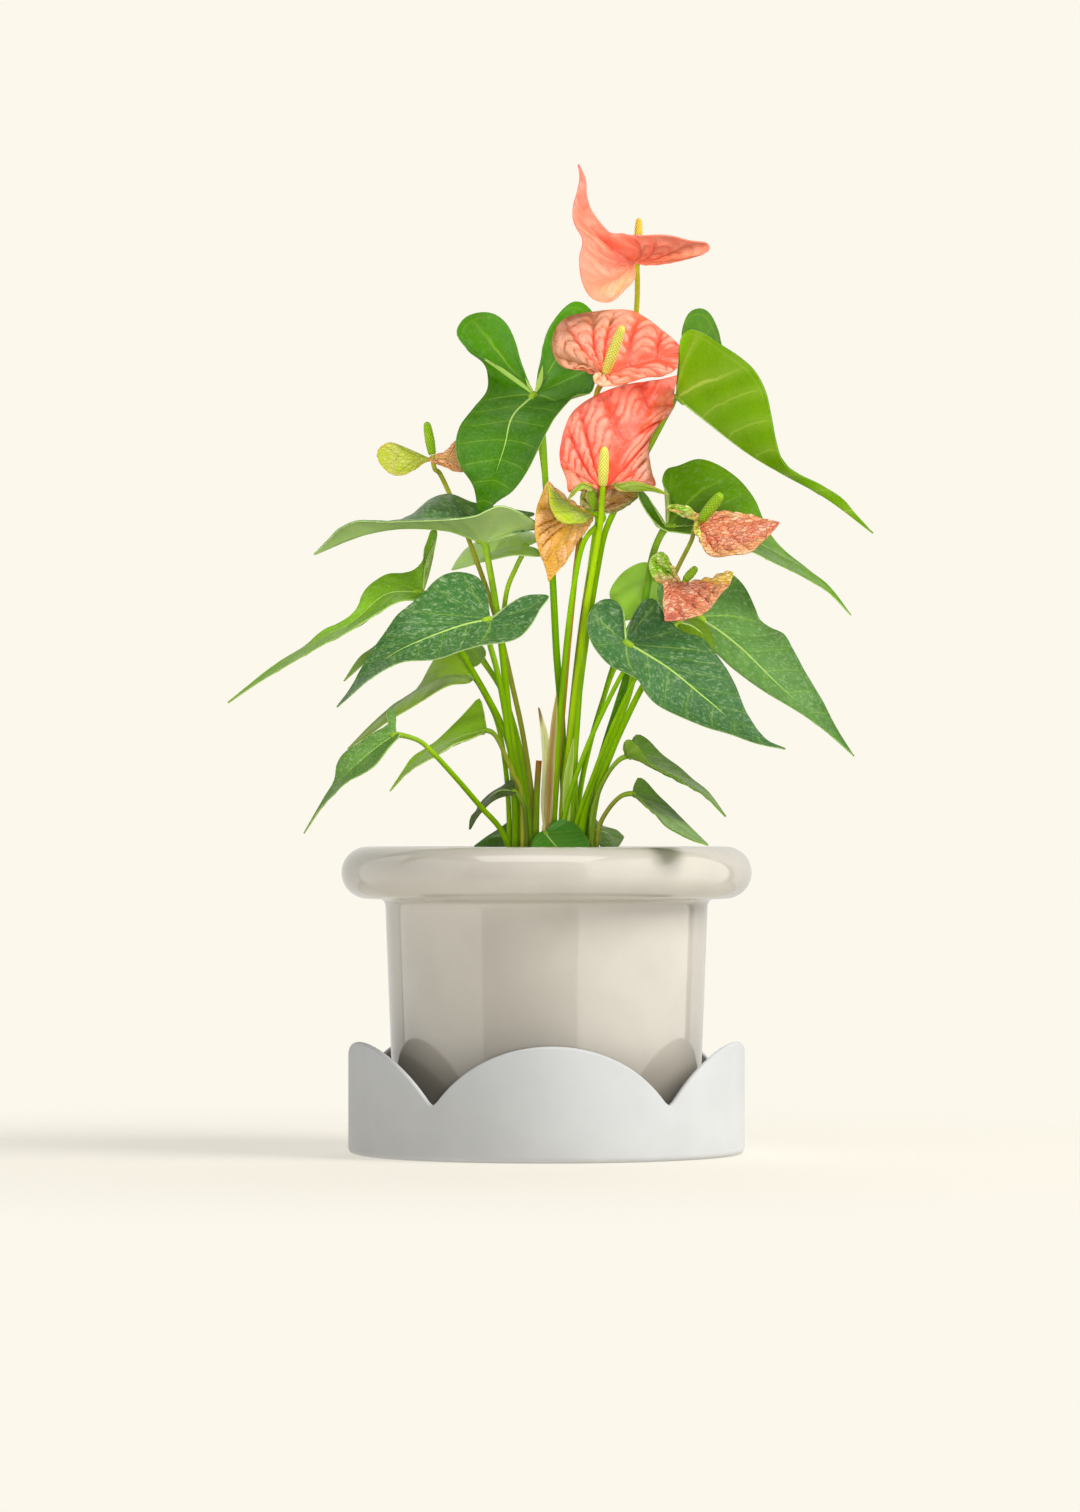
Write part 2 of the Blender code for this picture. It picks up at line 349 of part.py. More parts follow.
FLOWERS = {
    "top": dict(
        top=(45.5, 1, 446.5),
        rib=[(43.6, -1.2, 445.6), (35, -12, 451), (24, -18, 460), (17.5, -14, 472),
             (17.5, -9, 484), (16, -6, 494)],
        left_lobe=[(44, -2, 437), (38, -7, 430.5), (33, -12, 426), (27, -18, 425.5),
                   (21, -24, 429), (17.5, -28, 436)],
        left_side=[(17, -28, 447), (18, -26, 456), (14.7, -22, 463), (13, -18, 470),
                   (14.5, -13, 478), (16.8, -8.5, 488)],
        right_lobe=[(52, 2, 444), (65, 5, 446), (77, 7, 449), (81.5, 8, 451.5), (80, 5, 455),
                    (70, -6, 457)],
        right_side=[(60, -14, 458.5), (50, -18, 459), (40, -19, 459.5), (32, -17, 460),
                    (27, -13, 465), (22, -10, 472), (20, -8, 479), (19.5, -7, 487)],
        flaps=[],
        stem=[(8, 16.5, 150), (10, 19, 190), (13, 22, 225), (17, 24, 260), (21.5, 25, 290),
              (26, 24, 315), (30.5, 22, 340), (35, 21, 363), (39.5, 19, 385), (42.5, 16, 400),
              (44.6, 13, 416), (45.4, 8, 428), (45.5, 3, 437)],
        thick=(1.5, 1.3),
        spadix=(46.3, 2.5, 467.5),
        spadix_thick=2.2),
    "second": dict(
        top=(28.7, -6.8, 388.1),
        rib=[(29, -6, 388.5), (40, -5, 392.5), (52, -5, 396), (68, -4, 401)],
        left_lobe=[(25, -8, 390.5), (18, -14, 392), (11, -18, 391.5), (6, -18, 395),
                   (3.3, -14, 403), (4, -8, 411), (9, -2, 417)],
        left_side=[(18, 3, 420), (30, 6, 421), (42, 7, 421), (50, 5, 417.5), (58, 2, 411),
                   (64, -1, 406)],
        right_lobe=[(26, -9, 387.5), (23.3, -13, 388), (24.5, -16, 385.5), (29, -18, 383.3),
                    (35, -18, 383.5)],
        right_side=[(42, -16, 386), (50, -14, 387.5), (58, -10, 388.5), (65, -5, 392)],
        flaps=[],
        stem=[(2.5, 5, 150), (5, 6, 185), (8, 7, 220), (11, 8, 255), (14.5, 9, 290),
              (17.5, 10, 315), (20, 9, 340), (22.5, 6, 362), (25, 1, 379)],
        thick=(1.5, 1.4),
        spadix=(38, -22, 413.5),
        spadix_thick=2.9),
    "third": dict(
        top=(28, -24.2, 331.5),
        rib=[(28, -22, 331.5), (34, -25, 346), (44, -21, 362), (54, -12, 376), (65.8, -2, 388.5)],
        left_lobe=[(25, -25, 332), (20, -30, 333.5), (14, -32, 332), (11, -29, 331),
                   (9.5, -24, 337), (7, -18, 345)],
        left_side=[(6.8, -14, 352), (9.5, -10, 362), (14, -8, 371), (22, -7, 377.5), (34, -6, 382),
                   (46, -6, 385), (57, -6, 386.5)],
        right_lobe=[(33, -26, 333), (41, -30, 334), (49, -30, 333.5), (54.5, -28, 334)],
        right_side=[(52.5, -24, 341), (51, -20, 350), (52.5, -18, 358), (57, -14, 365),
                    (62, -9, 370), (63.5, -5, 376.5), (63.8, -3, 382)],
        flaps=[
            dict(
                rib=[(24.2, -25.2, 334.2), (18, -31, 333.6), (10.8, -31, 326.5)],
                left_lobe=[],
                left_side=[(22, -27, 330.8), (18, -31, 331.8), (14, -32, 329.2)],
                right_lobe=[],
                right_side=[(22, -29, 333.6), (18, -32, 335), (13.8, -32.5, 332.2)]),
            dict(
                rib=[(33.5, -25.6, 335), (38, -31.5, 332.6), (48, -34, 333), (61, -33, 328.7)],
                left_lobe=[],
                left_side=[(36, -31.5, 334.4), (44, -34.5, 335.8), (52, -35, 333.6),
                           (57, -34.5, 331.4)],
                right_lobe=[],
                right_side=[(36, -29, 331), (44, -31.5, 330.8), (52, -33, 331),
                            (57, -33.5, 329.8)])],
        stem=[(6.5, -9, 150), (8.5, -9.5, 180), (12, -11, 210), (15.5, -13, 240), (19.5, -16, 270),
              (24, -18, 297), (27, -20, 315)],
        thick=(1.7, 1.5),
        spadix=(29, -30, 353),
        spadix_thick=2.7),
    "fourth": dict(
        top=(24.6, 0.4, 320),
        rib=[(25, 2, 320.5), (33, 5, 325.5), (40, 8, 329), (48.5, 10, 331.5)],
        left_lobe=[(24, -3, 319.3), (28, -6, 319.5)],
        left_side=[(34, -4, 320.5), (40, 0, 323), (45, 6, 327)],
        right_lobe=[(22, 4, 323.5), (17.7, 2, 323), (17, 1, 328), (19, 1, 334), (24, 3, 338)],
        right_side=[(32, 7, 338), (41, 10, 336)],
        flaps=[],
        stem=[(11.5, -3.5, 150), (13, -3.5, 180), (15.5, -3.5, 215), (18, -3, 250), (21, -2, 285),
              (24, 0, 308)],
        thick=(1.5, 1.3),
        spadix=(22, -6, 332.5),
        spadix_thick=2.2),
    "tan": dict(
        top=(24.2, -12.8, 319),
        rib=[(23.5, -14, 318.5), (13, -23, 314), (5, -26, 304), (1.2, -23, 286)],
        left_lobe=[(17, -14, 321.5), (10, -15, 325.5), (4, -17, 331), (0, -19, 335),
                   (-2.5, -22, 328), (-5, -24, 321)],
        left_side=[(-6, -26, 314), (-5.3, -27, 307), (-3.5, -26, 300), (-1, -24.5, 293.5)],
        right_lobe=[(22, -11, 315), (19, -11, 312)],
        right_side=[(16, -14, 307), (13, -18, 301), (9, -21, 294.5), (5, -22.5, 290)],
        flaps=[
            dict(
                rib=[(22.5, -14, 318.8), (11, -19, 323.5), (0.6, -20, 334)],
                left_lobe=[],
                left_side=[(19, -22, 315), (12, -29, 314.5), (5, -30, 317), (1.8, -27, 324),
                           (1, -23, 330)],
                right_lobe=[],
                right_side=[(17, -15, 321.3), (10.3, -17, 325.3), (4.5, -18.5, 330.6)])],
        stem=[(3.5, -3, 150), (4.5, -3, 185), (7, -3.5, 220), (10, -4.5, 255), (14, -6, 285),
              (19, -9, 306)],
        thick=(1.5, 1.3),
        spadix=(13, -10.5, 323.3),
        spadix_thick=1.7),
    "right": dict(
        top=(76.4, -35.2, 315),
        rib=[(77, -34, 315), (90, -38, 313.5), (103, -40, 313.5), (116, -40, 315)],
        left_lobe=[(75, -37, 316.5), (73.8, -40, 313), (75, -43, 308.5), (78, -46, 304)],
        left_side=[(82, -48, 299.7), (89, -49, 297.5), (97, -49, 299), (104, -47, 302),
                   (110, -44, 307), (114, -41.5, 311.5)],
        right_lobe=[(70, -32, 320), (60, -31, 322), (63, -31, 324.5), (70, -31, 322.5),
                    (76, -31, 319.5)],
        right_side=[(84, -31, 320.3), (92, -32, 320.3), (101, -34, 319), (109, -37, 316.8)],
        flaps=[],
        stem=[(15.5, -2, 144), (19.5, -1, 170), (26, 0, 192), (34, 0, 212), (43, 0, 235),
              (51, 0, 258), (59, -2, 278), (66.5, -10, 294), (72.5, -24, 306)],
        thick=(1.3, 1.1),
        spadix=(87.5, -44, 329.5),
        spadix_thick=3),
    "low_right": dict(
        top=(68, -34.4, 284.6),
        rib=[(67, -36, 285), (63, -43, 279), (60.5, -47, 272), (59.5, -48, 266)],
        left_lobe=[(63, -36, 290), (61.5, -36, 297), (57, -34, 300.5), (52.5, -34, 298),
                   (51, -36, 293), (53, -38, 287.5), (57.5, -42, 285.3)],
        left_side=[(58.6, -45, 281), (58.2, -47, 275), (58.8, -48, 269.5)],
        right_lobe=[(73, -34, 284), (80, -33, 284), (88, -33, 286), (93.5, -34, 289),
                    (91, -38, 284.5)],
        right_side=[(87.5, -42, 279), (83, -45, 273.5), (77, -47.5, 269), (70, -49, 266.5),
                    (64, -49, 265.8)],
        flaps=[],
        stem=[(5.5, -15, 150), (10, -18, 172), (18, -22, 197), (28, -24, 220), (40, -24, 243),
              (52.5, -24, 261), (58.5, -25, 270), (62.8, -28.5, 277)],
        thick=(1.3, 1.1),
        spadix=(75, -31, 292.7),
        spadix_thick=2.2),
    "left": dict(
        top=(-56.8, 25, 347),
        rib=[(-60, 27.5, 346.6), (-50, 30, 347), (-42, 34, 347), (-34, 38, 346)],
        left_lobe=[(-56, 29, 349)],
        left_side=[(-50, 34, 350.5), (-45, 38, 356), (-39, 39, 353.5)],
        right_lobe=[(-57, 22, 345)],
        right_side=[(-52, 24, 343.5), (-45, 28, 340.5), (-39, 33, 341)],
        flaps=[
            dict(
                rib=[(-54.5, 27.8, 346.6), (-66, 22, 347.5), (-76, 20, 348), (-84.5, 20, 348.5)],
                left_lobe=[],
                left_side=[(-61, 22.5, 345.3), (-66, 20, 341.5), (-72, 18, 338.7),
                           (-78, 18, 339.3), (-83, 19, 344)],
                right_lobe=[],
                right_side=[(-61, 25.5, 347.8), (-66, 25, 350), (-72, 24, 353), (-79, 22, 355),
                            (-83.7, 21, 352)])],
        stem=[(-4, 7.5, 150), (-7.5, 9, 180), (-12, 13, 210), (-17, 16, 233), (-22.5, 20, 257),
              (-29, 26, 279), (-35, 31, 296), (-41, 34, 312), (-47, 33, 326), (-53, 29, 339)],
        thick=(1.4, 1.2),
        spadix=(-60, 24, 365.5),
        spadix_thick=2.5),
}

SHEATHS = {
    "sheath_pale": dict(
        rib=[(-1, -9, 160), (0.5, -9.5, 185), (-0.5, -9.5, 205), (-3.8, -9.5, 222)],
        left_lobe=[],
        left_side=[(-2.5, -9, 175), (-1.7, -9, 195), (-2.8, -9.2, 211)],
        right_lobe=[],
        right_side=[(1.2, -10.5, 170), (2.4, -10.5, 192), (1.2, -10, 207)],
        stem=[(-1, -9, 148), (-1, -9, 154)],
        thick=(1.6, 1.4)),
    "sheath_green": dict(
        rib=[(10, -13.5, 160), (10.3, -14, 178), (12, -14, 195), (13.6, -14, 207)],
        left_lobe=[],
        left_side=[(8.3, -13.5, 172), (9, -13.5, 188), (11.6, -13.7, 200)],
        right_lobe=[],
        right_side=[(11.8, -14.5, 168), (12.6, -14.7, 183), (13.8, -14.4, 198)],
        stem=[(10, -13.5, 148), (10, -13.5, 154)],
        thick=(1.6, 1.4)),
    "sheath_brown": dict(
        rib=[(1, -13.5, 160), (1.8, -13.5, 185), (3.6, -14, 210), (5.2, -14, 229)],
        left_lobe=[],
        left_side=[(-0.5, -13, 172), (0.6, -13, 195), (3, -13.6, 218)],
        right_lobe=[],
        right_side=[(2.8, -14, 170), (4.2, -14.2, 196), (5.4, -14.2, 218)],
        stem=[(1, -13.5, 148), (1, -13.5, 154)],
        thick=(1.6, 1.4)),
}

STUB = dict(
    stem=[(-5.5, -5, 150), (-5, -5, 175), (-3.8, -5, 196)],
    thick=(1.8, 1.5))

LEAF_COLOURS = {
    "leaf_left_broad": LEAF_BLUE_GREEN,
    "leaf_left_low": LEAF_BLUE_GREEN,
    "leaf_left_slim": LEAF_BLUE_GREEN,
    "leaf_right_broad": LEAF_BLUE_GREEN,
    "leaf_right_long": LEAF_BLUE_GREEN,
    "leaf_right_small": LEAF_BLUE_GREEN,
    "leaf_upper_right": LEAF_BRIGHT,
    "leaf_left_under": LEAF_BRIGHT,
    "leaf_left_behind": LEAF_BRIGHT,
    "leaf_right_behind": LEAF_PALE,
    "leaf_withered": LEAF_BROWN,
}
SMALL_LEAVES = ("leaf_rim_left", "leaf_rim_front", "leaf_rim_right", "leaf_withered", "leaf_right_young")
FLOWER_COLOURS = {
    "top": (SPATHE_CORAL, SPADIX_YELLOW),
    "second": (SPATHE_CORAL, SPADIX_GREEN),
    "third": (SPATHE_CORAL, SPADIX_GREEN),
    "fourth": (SPATHE_AGED, SPADIX_GREEN),
    "tan": (SPATHE_TAN, SPADIX_GREEN),
    "right": (SPATHE_AGED, SPADIX_GREEN),
    "low_right": (SPATHE_AGED, SPADIX_GREEN),
    "left": (SPATHE_GREEN, SPADIX_GREEN),
}
SHEATH_COLOURS = {
    "sheath_pale": SHEATH_PALE,
    "sheath_green": STEM_GREEN,
    "sheath_brown": SHEATH_BROWN,
}


def clear_scene():
    for obj in list(bpy.data.objects):
        bpy.data.objects.remove(obj, do_unlink=True)


def new_collection(name):
    collection = bpy.data.collections.new(name)
    bpy.context.scene.collection.children.link(collection)
    return collection


def material(name, look):
    colour, roughness, metallic = look
    made = bpy.data.materials.new(name)
    made.use_nodes = True
    shader = made.node_tree.nodes["Principled BSDF"]
    shader.inputs["Base Color"].default_value = (*colour, 1.0)
    shader.inputs["Roughness"].default_value = roughness
    shader.inputs["Metallic"].default_value = metallic
    made.diffuse_color = (*colour, 1.0)
    return made


def object_from(bm, name, collection):
    mesh = bpy.data.meshes.new(name)
    bm.to_mesh(mesh)
    bm.free()
    obj = bpy.data.objects.new(name, mesh)
    collection.objects.link(obj)
    return obj


def helper(obj):
    """Marks an object as a shape that only cuts or joins another."""
    obj.hide_render = True
    obj.display_type = "WIRE"
    return obj


def combine(obj, tool, operation):
    """Joins or cuts a folded blade, with the solver that takes its tight folds at the base."""
    boolean = obj.modifiers.new(operation.title(), "BOOLEAN")
    boolean.operation = operation
    boolean.solver = "MANIFOLD"
    boolean.object = helper(tool)


def settle(obj, look, origin=(0, 0, 0), angle=40):
    """Applies the object's modifiers, moves its origin, and gives it its material and its shading."""
    graph = bpy.context.evaluated_depsgraph_get()
    mesh = bpy.data.meshes.new_from_object(obj.evaluated_get(graph))
    tools = [m.object for m in obj.modifiers if m.type == "BOOLEAN" and m.object]
    obj.modifiers.clear()
    old = obj.data
    obj.data = mesh
    bpy.data.meshes.remove(old)
    mesh.name = obj.name
    for tool in tools:
        bpy.data.objects.remove(tool, do_unlink=True)
    origin = Vector(origin)
    mesh.transform(Matrix.Translation(-origin))
    obj.location = origin
    mesh.materials.clear()
    mesh.materials.append(material(obj.name, look))
    mesh.shade_smooth()
    mesh.set_sharp_from_angle(angle=math.radians(angle))
    return obj


def turned(name, profile, steps, collection):
    """A solid of revolution from (radius, height) points in millimetres, outside run top to bottom."""
    bm = bmesh.new()
    verts = [bm.verts.new((r * MM, 0, z * MM)) for r, z in profile]
    for a, b in zip(verts, verts[1:]):
        bm.edges.new((a, b))
    obj = object_from(bm, name, collection)
    screw = obj.modifiers.new("Turn", "SCREW")
    screw.steps = steps
    screw.render_steps = steps
    screw.use_merge_vertices = True
    screw.merge_threshold = 0.00001
    return obj


def make_pot(collection):
    rim = []
    for k in range(10):
        angle = math.radians(180 - 30 * k)
        rim.append((RIM_RADIUS + RIM_THICK * math.cos(angle), RIM_HEIGHT + RIM_THICK * math.sin(angle)))
    profile = [(0, POT_FLOOR), (POT_INNER_FOOT - 3.5, POT_FLOOR), (POT_INNER_FOOT, POT_FLOOR + 3.7)]
    profile += [(POT_INNER_TOP, POT_SHOULDER)]
    profile += rim
    profile += [(POT_BODY_RADIUS + 3.0, RIM_HEIGHT - RIM_THICK - 0.3)]
    profile += [(POT_BODY_RADIUS + 0.8, RIM_HEIGHT - RIM_THICK - 1.3)]
    profile += [(POT_BODY_RADIUS, RIM_HEIGHT - RIM_THICK - 3.6)]
    profile += [(POT_FOOT_RADIUS, POT_FOOT + 2.0), (POT_FOOT_RADIUS - 1.5, POT_FOOT), (0, POT_FOOT)]
    pot = turned("pot", profile, POT_STEPS, collection)
    return settle(pot, GLAZE, (0, 0, POT_FOOT * MM))


def scallop_height(angle):
    """Height of the saucer's lip at an angle from the front, in millimetres."""
    pitch = 2 * math.pi / SCALLOPS
    turn = (angle - math.radians(SCALLOP_TURN) + pitch / 2) % pitch - pitch / 2
    along = SAUCER_RADIUS * turn
    return SCALLOP_PEAK - (SCALLOP_ARC - math.sqrt(SCALLOP_ARC**2 - along**2))


def make_saucer(collection):
    outer = SAUCER_RADIUS
    inner = SAUCER_RADIUS - SAUCER_WALL
    lip = SCALLOP_PEAK
    profile = [(0, SAUCER_FLOOR), (inner - 3.5, SAUCER_FLOOR), (inner - 1.0, SAUCER_FLOOR + 1.0)]
    profile += [(inner, SAUCER_FLOOR + 3.5), (inner, lip - 1.1), (inner + 0.8, lip)]
    profile += [(outer - 0.8, lip), (outer, lip - 1.1), (outer, 3.0), (outer - 0.9, 0.9)]
    profile += [(outer - 3.0, 0), (0, 0)]
    saucer = turned("saucer", profile, SAUCER_STEPS, collection)
    settle(saucer, SAUCER_CLAY)
    saucer.data.transform(Matrix.Rotation(math.radians(SCALLOP_TURN), 4, "Z"))
    for vert in saucer.data.vertices:
        if vert.co.z > (lip - 5) * MM:
            angle = math.atan2(vert.co.x, -vert.co.y)
            vert.co.z += (scallop_height(angle) - lip) * MM
    return saucer


def make_soil(collection, stems):
    """The potting mix, with a plain hole for each stem's foot."""
    profile = [(0, SOIL_TOP), (POT_INNER_TOP - FIT, SOIL_TOP), (POT_INNER_TOP - FIT, POT_SHOULDER)]
    profile += [(POT_INNER_FOOT - FIT, POT_FLOOR + 3.9), (POT_INNER_FOOT - 3.7, POT_FLOOR + FIT)]
    profile += [(0, POT_FLOOR + FIT)]
    soil = turned("soil", profile, SOIL_STEPS, collection)
    holes = new_collection("stem_holes")
    height = (SOIL_TOP + 4 - HOLE_FLOOR) * MM
    for foot, radius in stems:
        bm = bmesh.new()
        wide = (radius + FIT) * MM / math.cos(math.pi / HOLE_SIDES)
        middle = Matrix.Translation((foot[0], foot[1], HOLE_FLOOR * MM + height / 2))
        bmesh.ops.create_cone(
            bm, cap_ends=True, segments=HOLE_SIDES, radius1=wide, radius2=wide, depth=height, matrix=middle
        )
        helper(object_from(bm, "stem_hole", holes))
    cut = soil.modifiers.new("Holes", "BOOLEAN")
    cut.operation = "DIFFERENCE"
    cut.solver = "EXACT"
    cut.operand_type = "COLLECTION"
    cut.collection = holes
    settle(soil, SOIL_DARK, (0, 0, SOIL_TOP * MM))
    for tool in list(holes.objects):
        bpy.data.objects.remove(tool, do_unlink=True)
    bpy.data.collections.remove(holes)
    return soil


def lined_up(points):
    """Real places, in metres, of points read where they line up with the plane through the axis."""
    p = np.atleast_2d(np.asarray(points, float)) * (1, FULLNESS, 1)
    spread = 1 + p[:, 1] / EYE_FAR
    return np.column_stack([p[:, 0] * spread, p[:, 1], EYE_HIGH + (p[:, 2] - EYE_HIGH) * spread]) * MM


def unit(vectors):
    length = np.linalg.norm(vectors, axis=-1, keepdims=True)
    return vectors / np.maximum(length, 1e-12)


def spline(points, per=10):
    """A smooth line through the points, with this many steps to each stretch."""
    p = np.asarray(points, float)
    p = np.vstack([2 * p[0] - p[1], p, 2 * p[-1] - p[-2]])
    t = np.linspace(0, 1, per, endpoint=False)[:, None]
    out = []
    for a, b, c, d in zip(p, p[1:], p[2:], p[3:]):
        bend = (2 * a - 5 * b + 4 * c - d) * t**2 + (3 * b - a - 3 * c + d) * t**3
        out.append(0.5 * (2 * b + (c - a) * t + bend))
    return np.vstack(out + [p[-2][None]])


def length_of(line):
    return np.linalg.norm(np.diff(line, axis=0), axis=1).sum()


def even(line, steps):
    """The line's points again, at even distances along it."""
    run = np.concatenate([[0], np.cumsum(np.linalg.norm(np.diff(line, axis=0), axis=1))])
    want = np.linspace(0, run[-1], steps + 1)
    return np.column_stack([np.interp(want, run, line[:, k]) for k in range(3)])


def margin(blade, side):
    """One edge of a blade, from the base round the lobe to the tip, as its lobe part and its side part."""
    rib = lined_up(blade["rib"])
    lobe = blade[side + "_lobe"]
    edge = lined_up(lobe + blade[side + "_side"])
    apart = unit(edge[-1] - rib[-2])
    line = spline(np.vstack([rib[:1], edge, rib[-1:] + apart * TIP_HALF_WIDTH * MM]))
    split = 10 * max(len(lobe), 1)
    return line[: split + 1], line[split:]


def half_blade(blade, side, rib_steps, across, step):
    """Rows of points from the midrib out to one edge; the lobe's part fans out from the base."""
    lobe_line, side_line = margin(blade, side)
    lobe_steps = min(max(round(length_of(lobe_line) / (step * MM)), 2), 7)
    outer = np.vstack([even(lobe_line, lobe_steps)[:-1], even(side_line, rib_steps)])
    rib = even(spline(lined_up(blade["rib"])), rib_steps)
    inner = np.vstack([np.repeat(rib[:1], lobe_steps, 0), rib])
    out = outer - inner
    normal = unit(np.cross(unit(np.gradient(outer, axis=0)), out))
    if side == "right":
        normal = -normal
    arch = normal * np.linalg.norm(out, axis=1, keepdims=True) * BLADE_BULGE
    return [inner + v * out + arch * 4 * v * (1 - v) for v in np.linspace(0, 1, across + 1)]


def sheet(blade, name, collection, across=2, step=BLADE_STEP):
    """A thin blade: two halves that share the midrib, split alike on both faces."""
    sides = [margin(blade, side)[1] for side in ("left", "right")]
    rib_steps = min(max(round(max(length_of(line) for line in sides) / (step * MM)), 4), 10)
    bm = bmesh.new()
    for side in ("left", "right"):
        rows = half_blade(blade, side, rib_steps, across, step)
        grid = [[bm.verts.new(point) for point in row] for row in rows]
        for inner, outer in zip(grid, grid[1:]):
            for a, b, c, d in zip(inner, inner[1:], outer[1:], outer):
                for corners in ((a, b, c), (a, c, d)):
                    bm.faces.new(corners if side == "left" else corners[::-1])
    bmesh.ops.remove_doubles(bm, verts=bm.verts, dist=0.00002)
    obj = object_from(bm, name, collection)
    solid = obj.modifiers.new("Thickness", "SOLIDIFY")
    solid.thickness = BLADE_THICK * MM
    solid.offset = 0
    return obj


def tube(name, points, radii, collection, resolution=1):
    """A closed tube along the points; the radii are in millimetres."""
    curve = bpy.data.curves.new(name, "CURVE")
    curve.dimensions = "3D"
    curve.bevel_depth = MM
    curve.bevel_resolution = resolution
    curve.use_fill_caps = True
    line = curve.splines.new("POLY")
    line.points.add(len(points) - 1)
    for point, place, radius in zip(line.points, points, radii):
        point.co = (*place, 1.0)
        point.radius = radius
    guide = bpy.data.objects.new(name + "_curve", curve)
    collection.objects.link(guide)
    graph = bpy.context.evaluated_depsgraph_get()
    mesh = bpy.data.meshes.new_from_object(guide.evaluated_get(graph))
    bm = bmesh.new()
    bm.from_mesh(mesh)
    bmesh.ops.remove_doubles(bm, verts=bm.verts, dist=0.000001)
    bm.to_mesh(mesh)
    bm.free()
    obj = bpy.data.objects.new(name, mesh)
    obj.matrix_world = guide.matrix_world.copy()
    collection.objects.link(obj)
    bpy.data.objects.remove(guide, do_unlink=True)
    return obj


def stem_line(stem, end):
    """A stem's centre line: upright in its hole, then through its points up to its end."""
    foot = lined_up(stem["stem"][:1])[0]
    low = (foot[0], foot[1], STEM_FOOT * MM)
    up = (foot[0], foot[1], STEM_UPRIGHT * MM)
    return np.vstack([low, up, lined_up(stem["stem"][1:]), end])


def stem_radii(stem, line):
    thick, thin = stem["thick"]
    run = np.concatenate([[0], np.cumsum(np.linalg.norm(np.diff(line, axis=0), axis=1))])
    return thick + (thin - thick) * run / run[-1]


def make_leaf(name, leaf, look, collection):
    """A blade and its petiole in one piece; the petiole's end runs on as the start of the midrib."""
    blade = sheet(leaf, name, collection, across=1 if name in SMALL_LEAVES else 2)
    rib = lined_up(leaf["rib"])
    line = stem_line(leaf, rib[:1])
    radii = stem_radii(leaf, line)
    run_on = even(spline(rib), 20)
    reach = np.linalg.norm(run_on - rib[0], axis=1)
    last = run_on[np.argmax(reach >= RIB_RUN * MM)]
    points = np.vstack([line, last])
    combine(blade, tube(name + "_stem", points, [*radii, RIB_END_THICK], collection), "UNION")
    return settle(blade, look, line[0], angle=50)


def make_flower(name, flower, looks, collection):
    """A peduncle, the spathe that it passes through in a plain hole, and the spadix on its end."""
    top = lined_up([flower["top"]])[0]
    tip = lined_up([flower["spadix"]])[0]
    up = unit(tip - top)
    neck = top - up * 5 * MM
    line = np.vstack([stem_line(flower, neck[None]), top + up * SPADIX_ABOVE * MM])
    radii = stem_radii(flower, line)
    stem = tube("peduncle_" + name, line, radii, collection)
    settle(stem, STEM_GREEN, line[0], angle=60)

    spathe = sheet(flower, "spathe_" + name, collection)
    for number, flap in enumerate(flower["flaps"]):
        combine(spathe, sheet(flap, "flap_%d" % number, collection, 1, FLAP_STEP), "UNION")
    bm = bmesh.new()
    wide = (flower["thick"][1] + FIT + 0.1) * MM / math.cos(math.pi / HOLE_SIDES)
    turn = Vector(up).to_track_quat("Z", "Y").to_matrix().to_4x4()
    place = Matrix.Translation(Vector(top)) @ turn
    bmesh.ops.create_cone(
        bm, cap_ends=True, segments=HOLE_SIDES, radius1=wide, radius2=wide, depth=9 * MM, matrix=place
    )
    combine(spathe, object_from(bm, "neck_hole", collection), "DIFFERENCE")
    settle(spathe, looks[0], top, angle=50)

    start = top + up * (SPADIX_ABOVE + FIT) * MM
    steps = np.array([0, 0.07, 0.4, 0.75, 0.92, 1.0])[:, None]
    shape = np.array([0.62, 0.86, 1.03, 0.92, 0.75, 0.3]) * flower["spadix_thick"]
    spadix = tube("spadix_" + name, start + (tip - start) * steps, shape, collection, resolution=2)
    settle(spadix, looks[1], start, angle=60)


def make_sheath(name, sheath, look, collection):
    """A papery sheath standing at the foot of the stems."""
    blade = sheet(sheath, name, collection, 1, FLAP_STEP)
    rib = lined_up(sheath["rib"])
    foot = stem_line(sheath, rib[:1])
    points = np.vstack([foot, rib[0] + unit(rib[1] - rib[0]) * RIB_RUN * MM])
    radii = [*stem_radii(sheath, foot), RIB_END_THICK]
    combine(blade, tube(name + "_foot", points, radii, collection), "UNION")
    return settle(blade, look, foot[0], angle=50)


def make_stub(collection):
    """The cut-off foot of an old petiole."""
    end = lined_up(STUB["stem"][-1:])
    line = stem_line(dict(stem=STUB["stem"][:-1]), end)
    stub = tube("stem_stub", line, stem_radii(STUB, line), collection)
    return settle(stub, STEM_GREEN, line[0], angle=60)


def main():
    clear_scene()
    plant = new_collection("potted_anthurium")
    make_saucer(plant)
    make_pot(plant)
    rooted = [*LEAVES.values(), *FLOWERS.values(), *SHEATHS.values(), STUB]
    make_soil(plant, [(lined_up(stem["stem"][:1])[0], stem["thick"][0]) for stem in rooted])
    for name, leaf in LEAVES.items():
        make_leaf(name, leaf, LEAF_COLOURS.get(name, LEAF_GREEN), plant)
    for name, flower in FLOWERS.items():
        make_flower(name, flower, FLOWER_COLOURS[name], plant)
    for name, sheath in SHEATHS.items():
        make_sheath(name, sheath, SHEATH_COLOURS[name], plant)
    make_stub(plant)
    root = bpy.data.objects.new("plant_root", None)
    plant.objects.link(root)
    for obj in plant.objects:
        if obj is not root:
            obj.parent = root


main()
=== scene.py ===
"""The look of the potted anthurium: finer leaves, flowers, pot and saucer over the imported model.

It stands in a pale studio. The constants and the plant's points are in millimetres where no comment
says metres.
"""

import math
import random

import bpy
import numpy as np
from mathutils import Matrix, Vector, noise


